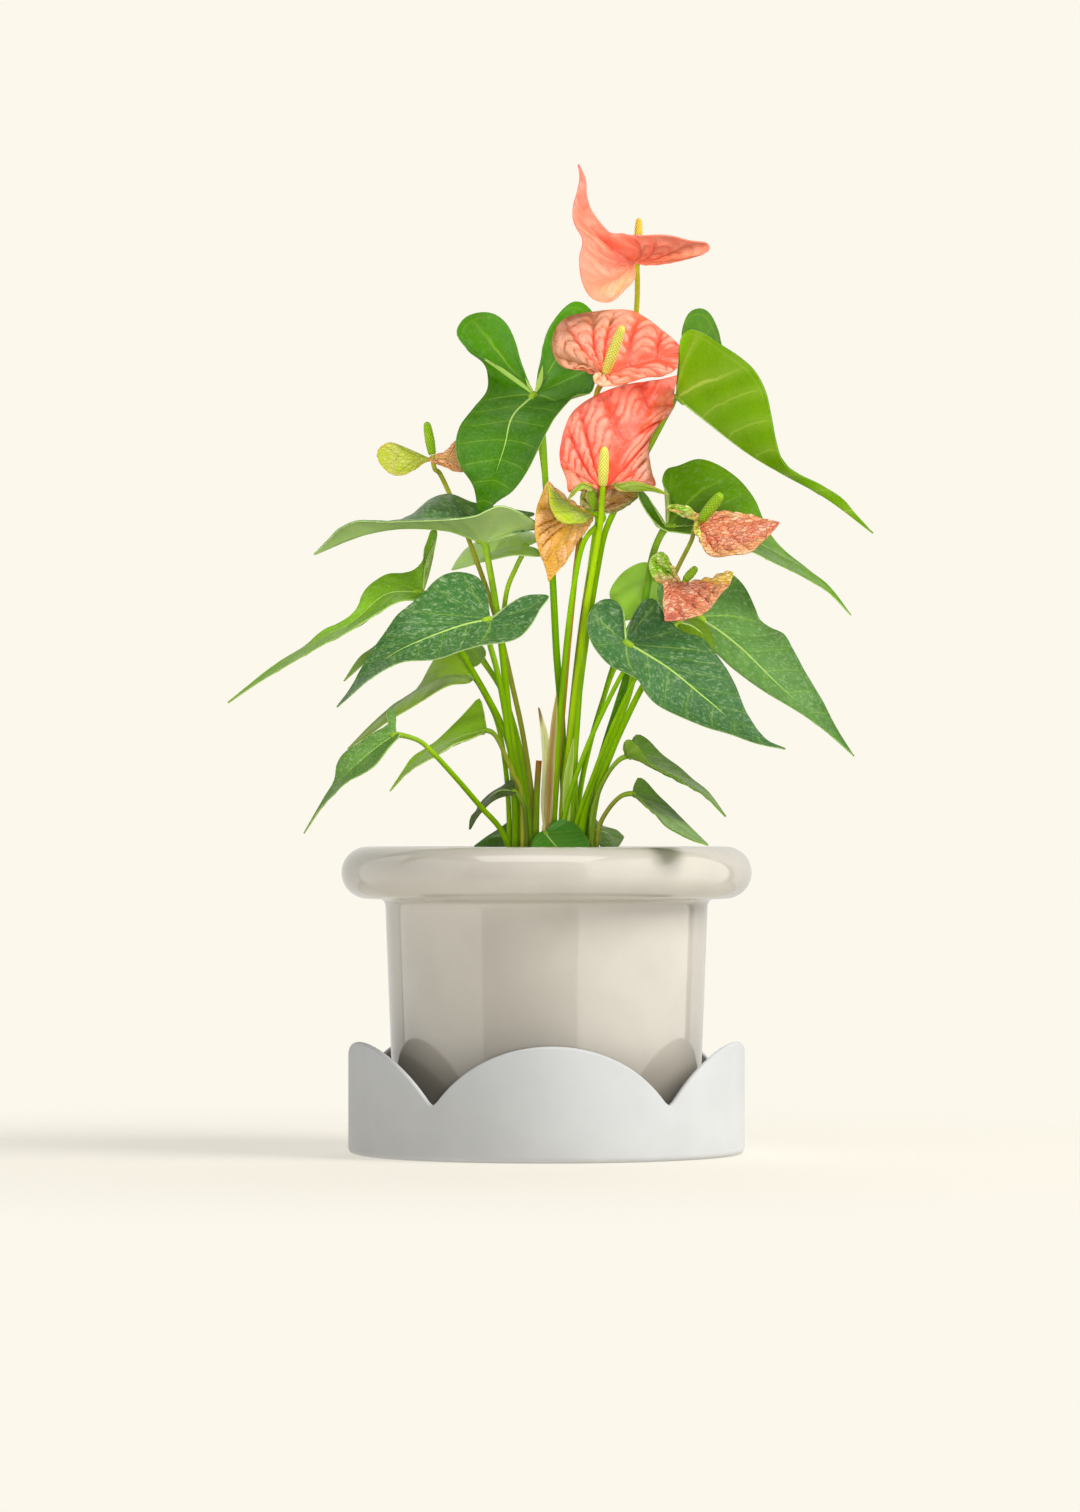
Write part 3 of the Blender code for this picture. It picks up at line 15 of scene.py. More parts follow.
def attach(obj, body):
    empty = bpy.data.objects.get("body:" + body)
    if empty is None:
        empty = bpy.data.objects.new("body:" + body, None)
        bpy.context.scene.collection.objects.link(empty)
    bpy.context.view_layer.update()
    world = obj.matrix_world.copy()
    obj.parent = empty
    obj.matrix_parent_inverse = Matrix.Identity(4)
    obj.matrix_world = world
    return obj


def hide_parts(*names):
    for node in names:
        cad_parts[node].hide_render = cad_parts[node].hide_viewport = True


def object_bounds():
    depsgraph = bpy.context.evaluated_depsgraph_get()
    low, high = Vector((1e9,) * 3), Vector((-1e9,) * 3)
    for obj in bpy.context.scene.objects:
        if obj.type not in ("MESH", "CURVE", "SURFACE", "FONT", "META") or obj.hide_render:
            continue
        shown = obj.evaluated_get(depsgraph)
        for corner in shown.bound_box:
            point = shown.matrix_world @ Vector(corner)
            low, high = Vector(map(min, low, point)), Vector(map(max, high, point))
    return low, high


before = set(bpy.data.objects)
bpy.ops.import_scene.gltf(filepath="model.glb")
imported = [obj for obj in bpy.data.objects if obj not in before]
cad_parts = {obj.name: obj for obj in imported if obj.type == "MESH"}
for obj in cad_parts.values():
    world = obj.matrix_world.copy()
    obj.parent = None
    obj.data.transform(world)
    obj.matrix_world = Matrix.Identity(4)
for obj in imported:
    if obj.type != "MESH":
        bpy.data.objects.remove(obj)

SIZE_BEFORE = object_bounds()

MM = 0.001
SIDES = ("left", "right")

# Saucer
SAUCER_RADIUS = 99.0
SAUCER_WALL = 3.0
SAUCER_FLOOR = 3.0
SCALLOPS = 5
SCALLOP_PEAK = 56.5
SCALLOP_ARC = 78.0
SCALLOP_TURN = 1.5
VALLEY_ROUND = 2.2

# Pot, whose rim is a roll of RIM_POINTS points that are RIM_TURN degrees apart
POT_FOOT = 3.3
POT_FOOT_RADIUS = 76.0
POT_BODY_RADIUS = 80.5
POT_BODY_STEPS = 14
POT_FLOOR = 10.3
POT_INNER_FOOT = 71.5
POT_INNER_TOP = 75.0
POT_SHOULDER = 128.0
RIM_RADIUS = 89.5
RIM_HEIGHT = 140.0
RIM_THICK = 13.0
RIM_POINTS = 55
RIM_FROM = 184.0
RIM_TURN = 5.2
TURN_STEPS = 240

# Soil, and the crumbs on it
SOIL_TOP = 140.0
SOIL_LEVEL = 136.5
SOIL_RINGS = 34
SOIL_AROUND = 120
CRUMBS = 420
CRUMB_SEED = 7
CRUMB_SIDES = 6
CRUMB_RINGS = ((-0.55, 0.6), (-0.15, 1.0), (0.3, 0.9), (0.6, 0.45))

# Plant
STEM_FOOT = 126.0
STEM_UPRIGHT = 141.0
STEM_SIDES = 14
LINE_STEPS = 10
RIB_STEPS = 40
RIB_SIDES = 8
BLADE_THICK = 0.8
BLADE_BULGE = 0.05
TIP_HALF_WIDTH = 0.5
FIT = 0.3
LEAF_STEP = 2.4
SPATHE_STEP = 1.1
SHEATH_STEP = 1.6
# Fewest and most steps round a lobe, along a side and across
STEP_LIMITS = ((4, 60), (14, 84), (6, 30))
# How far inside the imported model's box the finer pieces stay, in metres
INSIDE = 0.00001
# Edges sharper than this, in degrees, are not shaded smooth
SHARP_ANGLE = 50.0

# Spadix: florets in crossing spirals, FLORET_PITCH apart, with the radius in parts of the full one
SPADIX_ABOVE = 1.8
SPADIX_ROWS = 110
SPADIX_SIDES = 60
SPADIX_PLACES = (0, 0.07, 0.4, 0.75, 0.92, 0.97, 1.0)
SPADIX_RADII = (0.62, 0.86, 1.03, 0.92, 0.75, 0.55, 0.2)
FLORET_PITCH = 1.9
FLORETS_AROUND = 10
FLORET_DEPTH = 0.28

# Blades: how veins sweep back, how many there are, and how high the relief between them is in millimetres
LEAF_FORM = dict(sweep=0.34, bend=1.3, laterals=7.0, basals=3.0, quilt=0.7, crease=0.9, cells=0,
                 wrinkle=0.0, waves=3.0, ruffle=0.5)
SPATHE_FORM = dict(sweep=0.85, bend=1.5, laterals=3.0, basals=4.0, quilt=2.3, crease=0.7, cells=6.0,
                   wrinkle=0.0, waves=4.0, ruffle=0.6)
FLAP_FORM = dict(quilt=0.3, cells=0, ruffle=0.4)
SHEATH_FORM = dict(LEAF_FORM, quilt=0.2, ruffle=0.3)
SMOOTH_QUILT = {"top": 1.2}
# Vein numbers of the two bold pairs: the lowest side veins and those into the lobes
CHIEF_VEINS = (0.0, -2.0)

# Where each blade's upper face looks
LEAF_FACE = (0, -0.35, 0.9)
LEAF_FACING = {"leaf_back_high": (0, 0.8, 0.6), "leaf_back_right": (0, 0.8, 0.6),
               "leaf_back_left": (0, 0.8, 0.6), "leaf_upper_left": (0, -1, 0.1)}
SPATHE_FACING = {"top": (0, 0.3, 1), "second": (0, -1, 0.4), "third": (0, -1, 0.4),
                 "fourth": (0, -0.5, 1), "tan": (0, -1, 0.3), "right": (0, -1, 0.3),
                 "low_right": (0, -1, 0.3), "left": (0, -0.7, 0.7)}
SHEATH_FACE = (0, -1, 0)

# Studio: the camera is at the eye that the plant's points are lined up from
LENS = 142.857
SENSOR_WIDTH = 36.0
CAMERA_PITCH = 0.7305
CAMERA_YAW = 0.0621
ROOM_LIGHT = 0.29
ROOM_COLOUR = (1.0, 0.985, 0.95, 1)
FLOOR_REACH = 620.0
FLOOR_FADE_FROM = 210.0
FLOOR_DROP = 0.2
FLOOR_RINGS = 8
FLOOR_AROUND = 96
FLOOR_GLOW = 0.6
BOARD_COLOUR = (1, 0.98, 0.93, 1)
SPOT_CONE = 13.5
SPOT_BLEND = 0.6

# Boards that only mirror in shiny surfaces: place, what they face, width and height in metres, and glow
BOARDS = {
    "softbox_left": ((-1.2, -0.13, 0.4), (0, -0.13, 0.4), 2.06, 2.4, 1.15),
    "softbox_right": ((1.01, -0.2, 0.4), (0.1, 0.2, 0.4), 2.41, 2.4, 1.45),
    "softbox_top": ((-0.1, -0.7, 1.9), (0, 0, 0.3), 1.7, 1.1, 2.6),
    "softbox_behind": ((0, 2.4, 0.7), (0, 0, 0.3), 6.0, 3.2, 0.75),
}
# Lights: kind, place and target in metres, power in watts, size in metres, and colour.
# The spots' cones take in the leaves and flowers, but not the pot.
LIGHTS = {
    "key": ("AREA", (2.25, -1.1, 2.0), (0, 0, 0.2), 104.0, 1.6, (1.0, 0.985, 0.955)),
    "front_fill": ("SPOT", (0.1, -2.4, 0.2), (0, 0, 0.37), 185.0, 0.2, (1, 1, 1)),
    "left_fill": ("SPOT", (-2.0, -1.5, 0.7), (-0.03, 0, 0.36), 110.0, 0.2, (1, 1, 1)),
    "back": ("AREA", (0.3, 1.9, 1.5), (0, 0, 0.25), 16.0, 1.4, (1, 1, 1)),
}

# The plant's points are (x, y, z) in millimetres. x and z are read where a point lines up with the plane
# through the pot's axis, for an eye EYE_FAR in front of it and EYE_HIGH above the table. y is the depth
# behind that plane, before FULLNESS spreads the plant front to back.
EYE_FAR = 3000.0
EYE_HIGH = 160.0
FULLNESS = 1.35

# Outline of an arrow-shaped leaf, from its base round the lobe, then on to the tip: (along, across)
LOBE_OUTLINE = [(0, 0), (-0.25, 0.015), (-0.6, 0.07), (-0.9, 0.2), (-0.99, 0.42), (-0.82, 0.68),
                (-0.5, 0.92), (-0.15, 1.0), (0, 0.98)]
SIDE_OUTLINE = [(0, 0.98), (0.12, 0.96), (0.3, 0.8), (0.48, 0.57), (0.64, 0.33), (0.78, 0.15), (0.9, 0.05),
                (1, 0)]

LEAVES = {
    "leaf_upper_left": dict(
        rib=[(-6, 12, 379), (-17, 5, 368), (-21, 1, 353), (-27, -2, 335), (-34, 0, 316)],
        left_lobe=[(-12, 14, 386), (-14, 18, 398), (-18.5, 20, 412), (-25, 18, 419),
                   (-33, 14, 420.5), (-41, 10, 417.5), (-45, 8, 410), (-40, 8, 402.5),
                   (-32, 13, 396), (-29.5, 14, 389)],
        left_side=[(-30, 8, 381), (-37, 2, 372), (-43.5, -4, 363), (-45.5, -6, 353),
                   (-43, -6, 343), (-37, -3, 334), (-35, -1, 325)],
        right_lobe=[(-2, 14, 386), (-2, 20, 400), (1, 24, 412), (8, 27, 422), (15, 27, 426),
                    (22, 25, 422), (27, 22, 412), (29, 18, 400), (25, 13, 388)],
        right_side=[(22, 8, 380.5), (14, 4, 379), (5, -2, 369), (0, -6, 360), (-9, -8, 342),
                    (-17, -6, 331), (-26, -3, 324.5)],
        stem=[(9, 10, 150), (8.5, 12, 190), (7, 15, 225), (5, 17, 250), (3.2, 19, 285),
              (1.5, 20, 312), (-0.5, 20, 335), (-1.8, 19, 358), (-4, 16, 371)],
        thick=(2.1, 1.5)),
    "leaf_left_high": dict(
        rib=[(-31, 0, 304.5), (-41, -2, 308.5), (-52, -4, 311.5), (-75, -8, 312), (-98, -12, 307),
             (-116, -16, 299)],
        left_lobe=[(-22, -4, 308), (-12, -8, 311.5), (0, -12, 312), (-6, -16, 316),
                   (-14, -20, 320.5), (-23, -24, 323), (-30, -26, 320.5)],
        left_side=[(-37, -30, 318), (-58, -34, 316.5), (-80, -30, 315), (-94, -26, 316),
                   (-103, -22, 312.5), (-109, -19, 306.5)],
        right_lobe=[(-22, 6, 310), (-12, 12, 317), (-6, 16, 319.5), (-12, 20, 320.5),
                    (-24, 22, 322)],
        right_side=[(-37, 24, 325), (-48, 24, 329.5), (-58, 22, 327), (-68, 16, 318),
                    (-80, 8, 312.5), (-96, -2, 307.5)],
        stem=[(-8, 3, 150), (-9.5, 2.5, 165), (-14, 1, 190), (-18, -1, 212), (-20.5, 0, 235),
              (-23, 3, 258), (-26, 2, 278), (-29, 1, 295)],
        thick=(2, 1.6)),
    "leaf_left_behind": dict(
        rib=[(-10, 30, 303), (-22, 38, 301), (-36, 46, 297), (-47, 52, 291.5)],
        left_lobe=[(-4, 24, 301), (-3, 20, 298.5)],
        left_side=[(-15, 24, 298.5), (-28, 32, 296.5), (-38, 41, 293.5), (-44, 48, 292)],
        right_lobe=[(-4, 38, 306), (-4, 48, 309)],
        right_side=[(-14, 58, 311), (-28, 64, 309), (-38, 64, 303), (-44, 59, 297)],
        stem=[(-9, 15, 150), (-10, 17, 170), (-14, 21, 195), (-18, 24, 215), (-20.5, 27, 235),
              (-22, 29, 258), (-20, 30, 280), (-15, 30, 293)],
        thick=(1.5, 1.2)),
    "leaf_far_left": dict(
        rib=[(-62, 4, 280), (-80, -8, 279), (-97, -18, 265), (-112, -26, 257.5), (-135, -34, 243),
             (-159, -42, 225)],
        left_lobe=[(-61.5, 6, 288), (-60, 12, 297), (-56, 16, 305), (-55, 18, 311), (-58, 20, 311),
                   (-60.5, 17, 304), (-61.5, 12, 297), (-66, 10, 291.5)],
        left_side=[(-72, 6, 289.5), (-80, 0, 289), (-87, -6, 285), (-92, -10, 279.5),
                   (-95.5, -14, 271), (-104, -18, 264.5), (-112, -22, 261), (-121, -27, 253),
                   (-137, -33, 243)],
        right_lobe=[(-59, 1, 281.5), (-57, -3, 281), (-59, -6, 278), (-63, -9, 276)],
        right_side=[(-75, -26, 275), (-88, -38, 268), (-100, -40, 260), (-112, -40, 253.5),
                    (-130, -41, 243.5), (-146, -42, 234)],
        stem=[(-12.5, 8, 150), (-14.5, 7.5, 175), (-18, 5, 200), (-22.5, 2, 214), (-29, -3, 227),
              (-37, -8, 241), (-46, -8, 256), (-55, -4, 271)],
        thick=(1.6, 1.3)),
    "leaf_left_broad": dict(
        rib=[(-28, -22, 266.5), (-42, -26, 263.5), (-60, -31, 257), (-76, -36, 249.5),
             (-90, -41, 238.5), (-104.5, -45, 223)],
        left_lobe=[(-29, -18, 272), (-30, -13, 281), (-34, -9, 287), (-40, -8, 289.5),
                   (-46, -8, 290), (-52, -9, 288.5), (-57, -11, 285), (-61, -13, 280.5)],
        left_side=[(-69, -19, 273.2), (-75, -22, 268), (-80, -23, 261), (-86, -28, 253),
                   (-92, -34, 243), (-98, -39.5, 232)],
        right_lobe=[(-24, -24, 269), (-19, -25, 273.5), (-12, -27, 278), (-5, -29, 279),
                    (1.5, -32, 278), (-3, -34, 272), (-8, -36, 264), (-14, -38, 258)],
        right_side=[(-21, -39, 255.5), (-32, -41, 253.5), (-43, -43, 250.5), (-55, -45, 247),
                    (-70, -46, 246), (-80, -47, 242), (-90, -47, 235.5), (-98, -46.5, 228.5)],
        stem=[(-15.5, -2, 150), (-16, -3, 175), (-18, -5, 200), (-21, -7, 222), (-25, -10, 242),
              (-28.5, -14, 255), (-28.5, -18, 262)],
        thick=(1.7, 1.4)),
    "leaf_left_under": dict(
        rib=[(-37.5, 4, 238.5), (-50, 0, 238), (-63, -2, 231.5), (-78, -4, 221), (-99, -6, 202)],
        left_lobe=[(-36.5, -3.5, 236.5), (-39, -9, 235.2)],
        left_side=[(-48, -18, 233.5), (-60, -20, 227), (-72, -18, 220.5), (-85, -13, 211.5)],
        right_lobe=[(-38, 8, 244), (-41, 14, 251), (-47, 18, 255), (-53, 18, 253)],
        right_side=[(-57, 14, 245), (-61, 9, 237), (-66, 5, 230), (-76, 1, 224), (-88, -3, 213.5)],
        stem=[(-18.5, 4, 150), (-19, 7, 175), (-21.5, 10.5, 200), (-25, 12, 216), (-30, 11, 227),
              (-34.5, 8, 235)],
        thick=(1.4, 1.1)),
    "leaf_left_rear": dict(
        rib=[(-44, 30, 259), (-60, 34, 262), (-80, 34, 254), (-101, 28, 236)],
        left_lobe=[(-45, 34, 265), (-50, 40, 271), (-57, 44, 273)],
        left_side=[(-66, 46, 271), (-76, 44, 262), (-86, 39, 253), (-94, 33, 247)],
        right_lobe=[(-37, 26, 256), (-31, 24, 252), (-31, 22, 247.5), (-37, 21, 243),
                    (-44, 20, 249)],
        right_side=[(-56, 22, 252), (-70, 24, 251), (-82, 26, 249), (-91, 28, 245)],
        stem=[(-6.5, 11, 150), (-8.5, 13, 175), (-14, 17, 205), (-22, 22, 230), (-33, 27, 247),
              (-40, 29, 255)],
        thick=(1.5, 1.2)),
    "leaf_left_low": dict(
        rib=[(-75, -38, 209), (-84, -40, 203), (-97, -44, 192), (-107, -46, 181),
             (-121, -50, 160)],
        left_lobe=[(-76, -34, 214), (-75.5, -31, 219), (-78, -32, 223), (-80, -36, 219)],
        left_side=[(-79, -39, 214.5), (-88, -41, 209), (-95, -41, 204), (-101.5, -41, 199.5),
                   (-105, -41, 193), (-106, -43, 186), (-112, -46, 176)],
        right_lobe=[(-73.5, -40, 209.5), (-75, -48, 206.5)],
        right_side=[(-79.5, -54, 201), (-86, -56, 194), (-93, -56, 189), (-100, -55, 185),
                    (-107, -53, 178.5), (-114, -51.5, 171)],
        stem=[(-16, -12, 150), (-22, -16, 160), (-33, -23, 173), (-45, -30, 187), (-56, -35, 199),
              (-64, -37, 206)],
        thick=(1.5, 1.2)),
    "leaf_left_slim": dict(
        rib=[(-30, -4, 211), (-42, -8, 208), (-55, -13, 202), (-67, -19, 194), (-78, -26, 181)],
        left_lobe=[(-31.5, 0, 218), (-33.5, 5, 227)],
        left_side=[(-39, 4, 222), (-46, 1, 214), (-54, -4, 206.5), (-61, -9, 201.5),
                   (-67, -14, 197.5), (-72, -20, 190.5)],
        right_lobe=[(-30.5, -9, 210), (-34, -16, 209)],
        right_side=[(-42, -22, 205.5), (-50, -26, 201.5), (-60, -27, 196), (-70, -27, 189.5)],
        stem=[(-11.5, -7.5, 150), (-12.5, -8, 178), (-16, -8, 188), (-20, -7.5, 197),
              (-23.5, -6.5, 205), (-26.5, -5, 209.5)],
        thick=(1.4, 1.1)),
    "leaf_withered": dict(
        rib=[(-15.5, -14, 180.5), (-24, -13, 180.5), (-32, -11, 173), (-37.5, -10, 168),
             (-38.5, -10, 161.5)],
        left_lobe=[(-17, -10, 186.5)],
        left_side=[(-22, -8, 183), (-28, -6, 179.5), (-34, -7, 173)],
        right_lobe=[(-16, -17, 179)],
        right_side=[(-22, -16, 178), (-28, -14.5, 175), (-34, -12, 168.5)],
        stem=[(-9, -12.5, 150), (-10.5, -13, 170), (-12.5, -13.5, 176)],
        thick=(1.2, 1)),
    "leaf_rim_left": dict(
        rib=[(-15, 25, 155), (-21, 18, 158), (-28, 12, 157), (-36, 6, 153)],
        left_lobe=[(-13, 29, 161), (-14, 30, 166.5)],
        left_side=[(-19, 27, 165.5), (-23.5, 22, 162), (-29, 14, 158.5)],
        right_lobe=[(-14, 18, 152)],
        right_side=[(-20, 10, 150), (-27, 5, 150), (-32, 3, 151)],
        stem=[(-13, 24, 144), (-13.5, 25, 149)],
        thick=(1.3, 1.1)),
    "leaf_rim_front": dict(
        rib=[(-0.5, -27, 159.5), (3, -34, 155), (8, -41, 149.5), (14, -47, 144.5)],
        left_lobe=[(-2, -26, 160.5), (-5, -28, 158.5)],
        left_side=[(-7.5, -34, 153.5), (-5, -41, 148), (3, -46, 145)],
        right_lobe=[(2, -24, 163.5), (7, -23, 166.5), (12, -24, 165)],
        right_side=[(17, -28, 161.5), (21, -36, 156), (20, -43, 149)],
        stem=[(2, -20, 144), (1.5, -21, 150), (0, -24.5, 156)],
        thick=(1.3, 1.1)),
    "leaf_rim_right": dict(
        rib=[(24.5, -3, 160.5), (29, -1, 160), (33.5, 1, 158), (38.5, 3, 157.5)],
        left_lobe=[(23.5, 0, 165), (22.8, 3, 168.5)],
        left_side=[(26.5, 5, 164), (30, 5, 162.5), (35, 5, 161)],
        right_lobe=[(25, -7, 157)],
        right_side=[(28, -9, 152), (32, -9, 151), (36, -4, 153)],
        stem=[(25, -1.5, 144), (25, -2, 150), (24.5, -2.5, 155)],
        thick=(1.2, 1)),
    "leaf_upper_right": dict(
        rib=[(65, -2, 378), (80, -8, 366), (100, -15, 350.5), (120, -22, 338.5), (140, -29, 327.5),
             (163, -33, 310)],
        left_lobe=[(65.9, -7, 385), (66.2, -13, 394), (66.8, -18, 405), (69, -21, 410),
                   (73, -24, 411.5), (80, -30, 409)],
        left_side=[(88, -36, 404), (97, -41, 398), (104, -45, 391), (109, -45, 381),
                   (112, -43, 368), (115, -38, 355), (119, -33, 345), (127, -31, 338.8),
                   (138, -31, 333.5), (148, -32, 327), (155, -32.5, 319)],
        right_lobe=[(66.3, 4, 386), (67.5, 11, 400), (68, 17, 411), (71, 21, 419.5), (77, 23, 422),
                    (82, 23, 419), (86, 21, 411)],
        right_side=[(88.5, 20, 402), (97, 20, 385), (106, 15, 367), (114, 4, 352.5),
                    (124, -9, 340), (137, -20, 330.5), (150, -28, 321)],
        stem=[(15, 10, 150), (14, 11, 180), (14.5, 12.5, 212), (17.5, 13.5, 240),
              (21.5, 14.5, 268), (25.5, 16, 292), (29, 17, 309), (34, 16, 321), (41, 15, 334),
              (50, 13, 350), (58.5, 8, 366), (62.7, 3, 373.5)],
        thick=(1.9, 1.4)),
    "leaf_right_high": dict(
        rib=[(60, 8, 312.5), (80, 2, 313), (98, -4, 308.5), (118, -10, 298), (136, -14, 286.5),
             (152, -18, 269)],
        left_lobe=[(56, 4, 318), (49.5, 0, 329.5), (45.5, -4, 329.5), (50, -8, 320),
                   (58, -8, 312)],
        left_side=[(66, -11, 310.5), (76, -16, 309), (90, -21, 304), (103, -24, 300.5),
                   (115, -24, 295), (130, -22, 287), (142, -20, 279.5)],
        right_lobe=[(61.5, 14, 320), (61.5, 18, 329), (58.5, 20, 336), (60, 22, 341.5),
                    (66, 24, 343.5)],
        right_side=[(76, 27, 347), (86, 27, 344), (96, 23, 336.5), (104, 16, 326), (110, 7, 313),
                    (118, -1, 302), (130, -8, 292), (142, -14, 282.5)],
        stem=[(17, 5, 150), (22, 5, 175), (28.5, 5, 200), (35, 5, 221), (42, 5, 244),
              (47.5, 5, 265), (50.5, 5.5, 283), (52.8, 6, 297), (56, 7, 306.5)],
        thick=(2.3, 1.7)),
    "leaf_right_broad": dict(
        rib=[(39.5, -42, 255), (50, -45, 249), (63, -49, 240.5), (80, -54, 226.5),
             (100, -59, 210.5), (119, -63, 202)],
        left_lobe=[(38.8, -41, 262), (38.5, -38, 270), (36, -36, 274.5), (31, -36, 277),
                   (25, -37, 275), (21.5, -39, 270), (20.5, -42, 263), (22, -45, 256),
                   (26, -48, 249.5)],
        left_side=[(32, -51, 243.5), (40, -53, 240), (46, -55, 236.5), (49.5, -57, 230.5),
                   (54, -59, 225), (61, -61, 220.5), (70, -62, 216.5), (80, -63, 212.7),
                   (92, -64, 209.3), (105, -64.5, 204.7)],
        right_lobe=[(41, -38, 262), (43.5, -34, 269), (47, -31, 274.5), (51, -30, 277),
                    (55, -30, 276), (59, -31, 269), (64, -33, 263), (70, -35, 259)],
        right_side=[(78, -38, 257), (84, -41, 250.5), (90, -45, 242), (95, -49, 232),
                    (99, -53, 222), (104, -57, 213.5), (110.5, -60.5, 206)],
        stem=[(15, -13, 150), (20, -14.5, 175), (28, -17, 197), (36, -20, 215), (42, -25, 232),
              (43.5, -32, 244), (41.5, -38.5, 252)],
        thick=(1.9, 1.5)),
    "leaf_right_long": dict(
        rib=[(75, -20, 268), (88, -24, 259.5), (100, -28, 249.5), (115, -34, 234.5),
             (130, -40, 221), (153.5, -48, 198.5)],
        left_lobe=[(70, -17, 272), (63, -14, 281), (58, -13, 285.5), (55.3, -14, 281),
                   (56.5, -17, 274), (61, -20, 267), (67, -23, 261)],
        left_side=[(75, -27, 257), (84, -31, 250.5), (92, -35, 243), (102, -39, 235.5),
                   (112, -43, 229), (122, -45, 223), (132, -47, 216.5), (143, -48, 208)],
        right_lobe=[(76, -14, 275), (81, -8, 283), (87, -5, 288), (93, -5, 288.7),
                    (98, -7, 284.5)],
        right_side=[(101.5, -10, 279), (104.5, -13, 272), (107, -16, 266), (112, -19, 262),
                    (119, -23, 258.7), (124, -28, 250.5), (130, -33, 239.5), (138, -38.5, 226),
                    (145, -43.5, 212.5)],
        stem=[(20, -7, 150), (25, -8, 178), (32.5, -9, 200), (40, -10.5, 217), (47.5, -12, 232),
              (56, -15, 246), (66, -18, 259.5)],
        thick=(1.8, 1.4)),
    "leaf_right_behind": dict(
        rib=[(54, 34, 286), (47, 26, 283), (42, 20, 276), (39.5, 16, 266.5)],
        left_lobe=[(55, 36, 293)],
        left_side=[(48, 36, 295), (40, 32, 291.5), (34, 26, 285), (31.5, 22, 279), (35, 18, 272)],
        right_lobe=[(60, 31, 286), (60, 25, 279)],
        right_side=[(54, 20, 274), (48, 18, 270.5), (43, 16.5, 267)],
        stem=[(14, 16.5, 150), (16.5, 18, 178), (21.5, 20, 203), (27.5, 22, 224), (34.5, 26, 247),
              (43, 30, 266), (50, 33, 279)],
        thick=(1.3, 1.1)),
    "leaf_right_young": dict(
        rib=[(66, -29, 265), (73, -30, 263), (80, -32, 257), (84.5, -34, 250.5)],
        left_lobe=[(66, -31, 262.5)],
        left_side=[(71, -33, 257.5), (78, -35, 253.5)],
        right_lobe=[(67, -25, 267)],
        right_side=[(75, -24, 266.5), (82, -27, 260.5)],
        stem=[(10, -19, 150), (15, -21, 165), (24, -26, 190), (33, -30, 213), (45, -34, 238),
              (57, -33, 255)],
        thick=(1.3, 1)),
    "leaf_right_small": dict(
        rib=[(40, -20, 198), (52, -28, 194), (65, -35, 187.5), (78, -42, 180.5), (89.5, -48, 168)],
        left_lobe=[(38.5, -26, 201), (39.5, -30, 206), (43, -34, 205.5), (47, -38, 201)],
        left_side=[(52, -41, 195), (60, -44, 189.5), (70, -47, 184), (79, -49, 178.5)],
        right_lobe=[(42, -12, 204), (45, -9, 208.5), (50, -10, 206.5)],
        right_side=[(57, -14, 200), (65, -21, 193.5), (73, -30, 186.5), (81, -38, 180)],
        stem=[(22.5, -13, 144), (22.5, -14, 166), (26, -15.5, 180), (31, -17.5, 190),
              (36, -19, 196)],
        thick=(1.3, 1.1)),
    "leaf_right_low": dict(
        rib=[(43, -26, 179.5), (52, -35, 174), (62, -45, 167), (71, -56, 160), (80.5, -68, 153.8)],
        left_lobe=[(43, -31, 178), (47, -39, 177)],
        left_side=[(51, -47, 172.5), (57, -56, 166), (64, -64, 160.5), (72, -69, 156.5)],
        right_lobe=[(44, -22, 183.5), (45.5, -19, 187), (49, -20, 186)],
        right_side=[(55, -25, 179.5), (61, -31, 173.5), (68, -41, 166.5), (75, -54, 159.5)],
        stem=[(24.5, -20, 146), (26, -21, 161), (30.5, -22.5, 171), (37, -24.5, 178)],
        thick=(1.3, 1.1)),
    "leaf_back_high": dict(
        rib=[(-14, 44, 377), (-20, 58, 366), (-28, 72, 350), (-34, 82, 332)],
        left_lobe=[(-18, 41, 381.5)],
        left_side=[(-26, 46, 377), (-34, 56, 368), (-40, 66, 357), (-41, 74, 346), (-38, 80, 337)],
        right_lobe=[(-8, 46, 380.5)],
        right_side=[(-1, 54, 375), (-3, 66, 363), (-10, 76, 349), (-21, 82, 336)],
        stem=[(8.5, 23, 150), (8.5, 25, 190), (7, 27, 225), (5, 29, 250), (3.2, 31, 285),
              (1.5, 33, 312), (-0.5, 35, 335), (-4, 38, 358), (-10, 41.5, 371)],
        thick=(1.6, 1.3)),
    "leaf_back_right": dict(
        rib=[(52, 46, 258), (58, 58, 250), (66, 72, 240), (74, 86, 227)],
        left_lobe=[(46, 47, 257)],
        left_side=[(44, 56, 250), (50, 68, 240), (58, 80, 230), (66, 86, 224)],
        right_lobe=[(57, 42, 261)],
        right_side=[(67, 48, 255), (76, 60, 248), (83, 72, 240), (82, 83, 230)],
        stem=[(14, 24, 150), (16.5, 26, 178), (21.5, 28, 203), (27.5, 31, 224), (34.5, 36, 243),
              (44, 42, 253)],
        thick=(1.5, 1.2)),
    "leaf_back_left": dict(
        rib=[(-42, 50, 270), (-50, 62, 265), (-58, 74, 258), (-64, 84, 250)],
        left_lobe=[(-40, 48, 276)],
        left_side=[(-47, 54, 280), (-57, 62, 276), (-65, 72, 268), (-68, 80, 258)],
        right_lobe=[(-37, 51, 266)],
        right_side=[(-38, 60, 258), (-46, 70, 252), (-56, 80, 248.5)],
        stem=[(-7, 20, 150), (-8.5, 23, 175), (-14, 28, 205), (-22, 34, 230), (-33, 42, 249),
              (-39, 47, 262)],
        thick=(1.5, 1.2)),
}

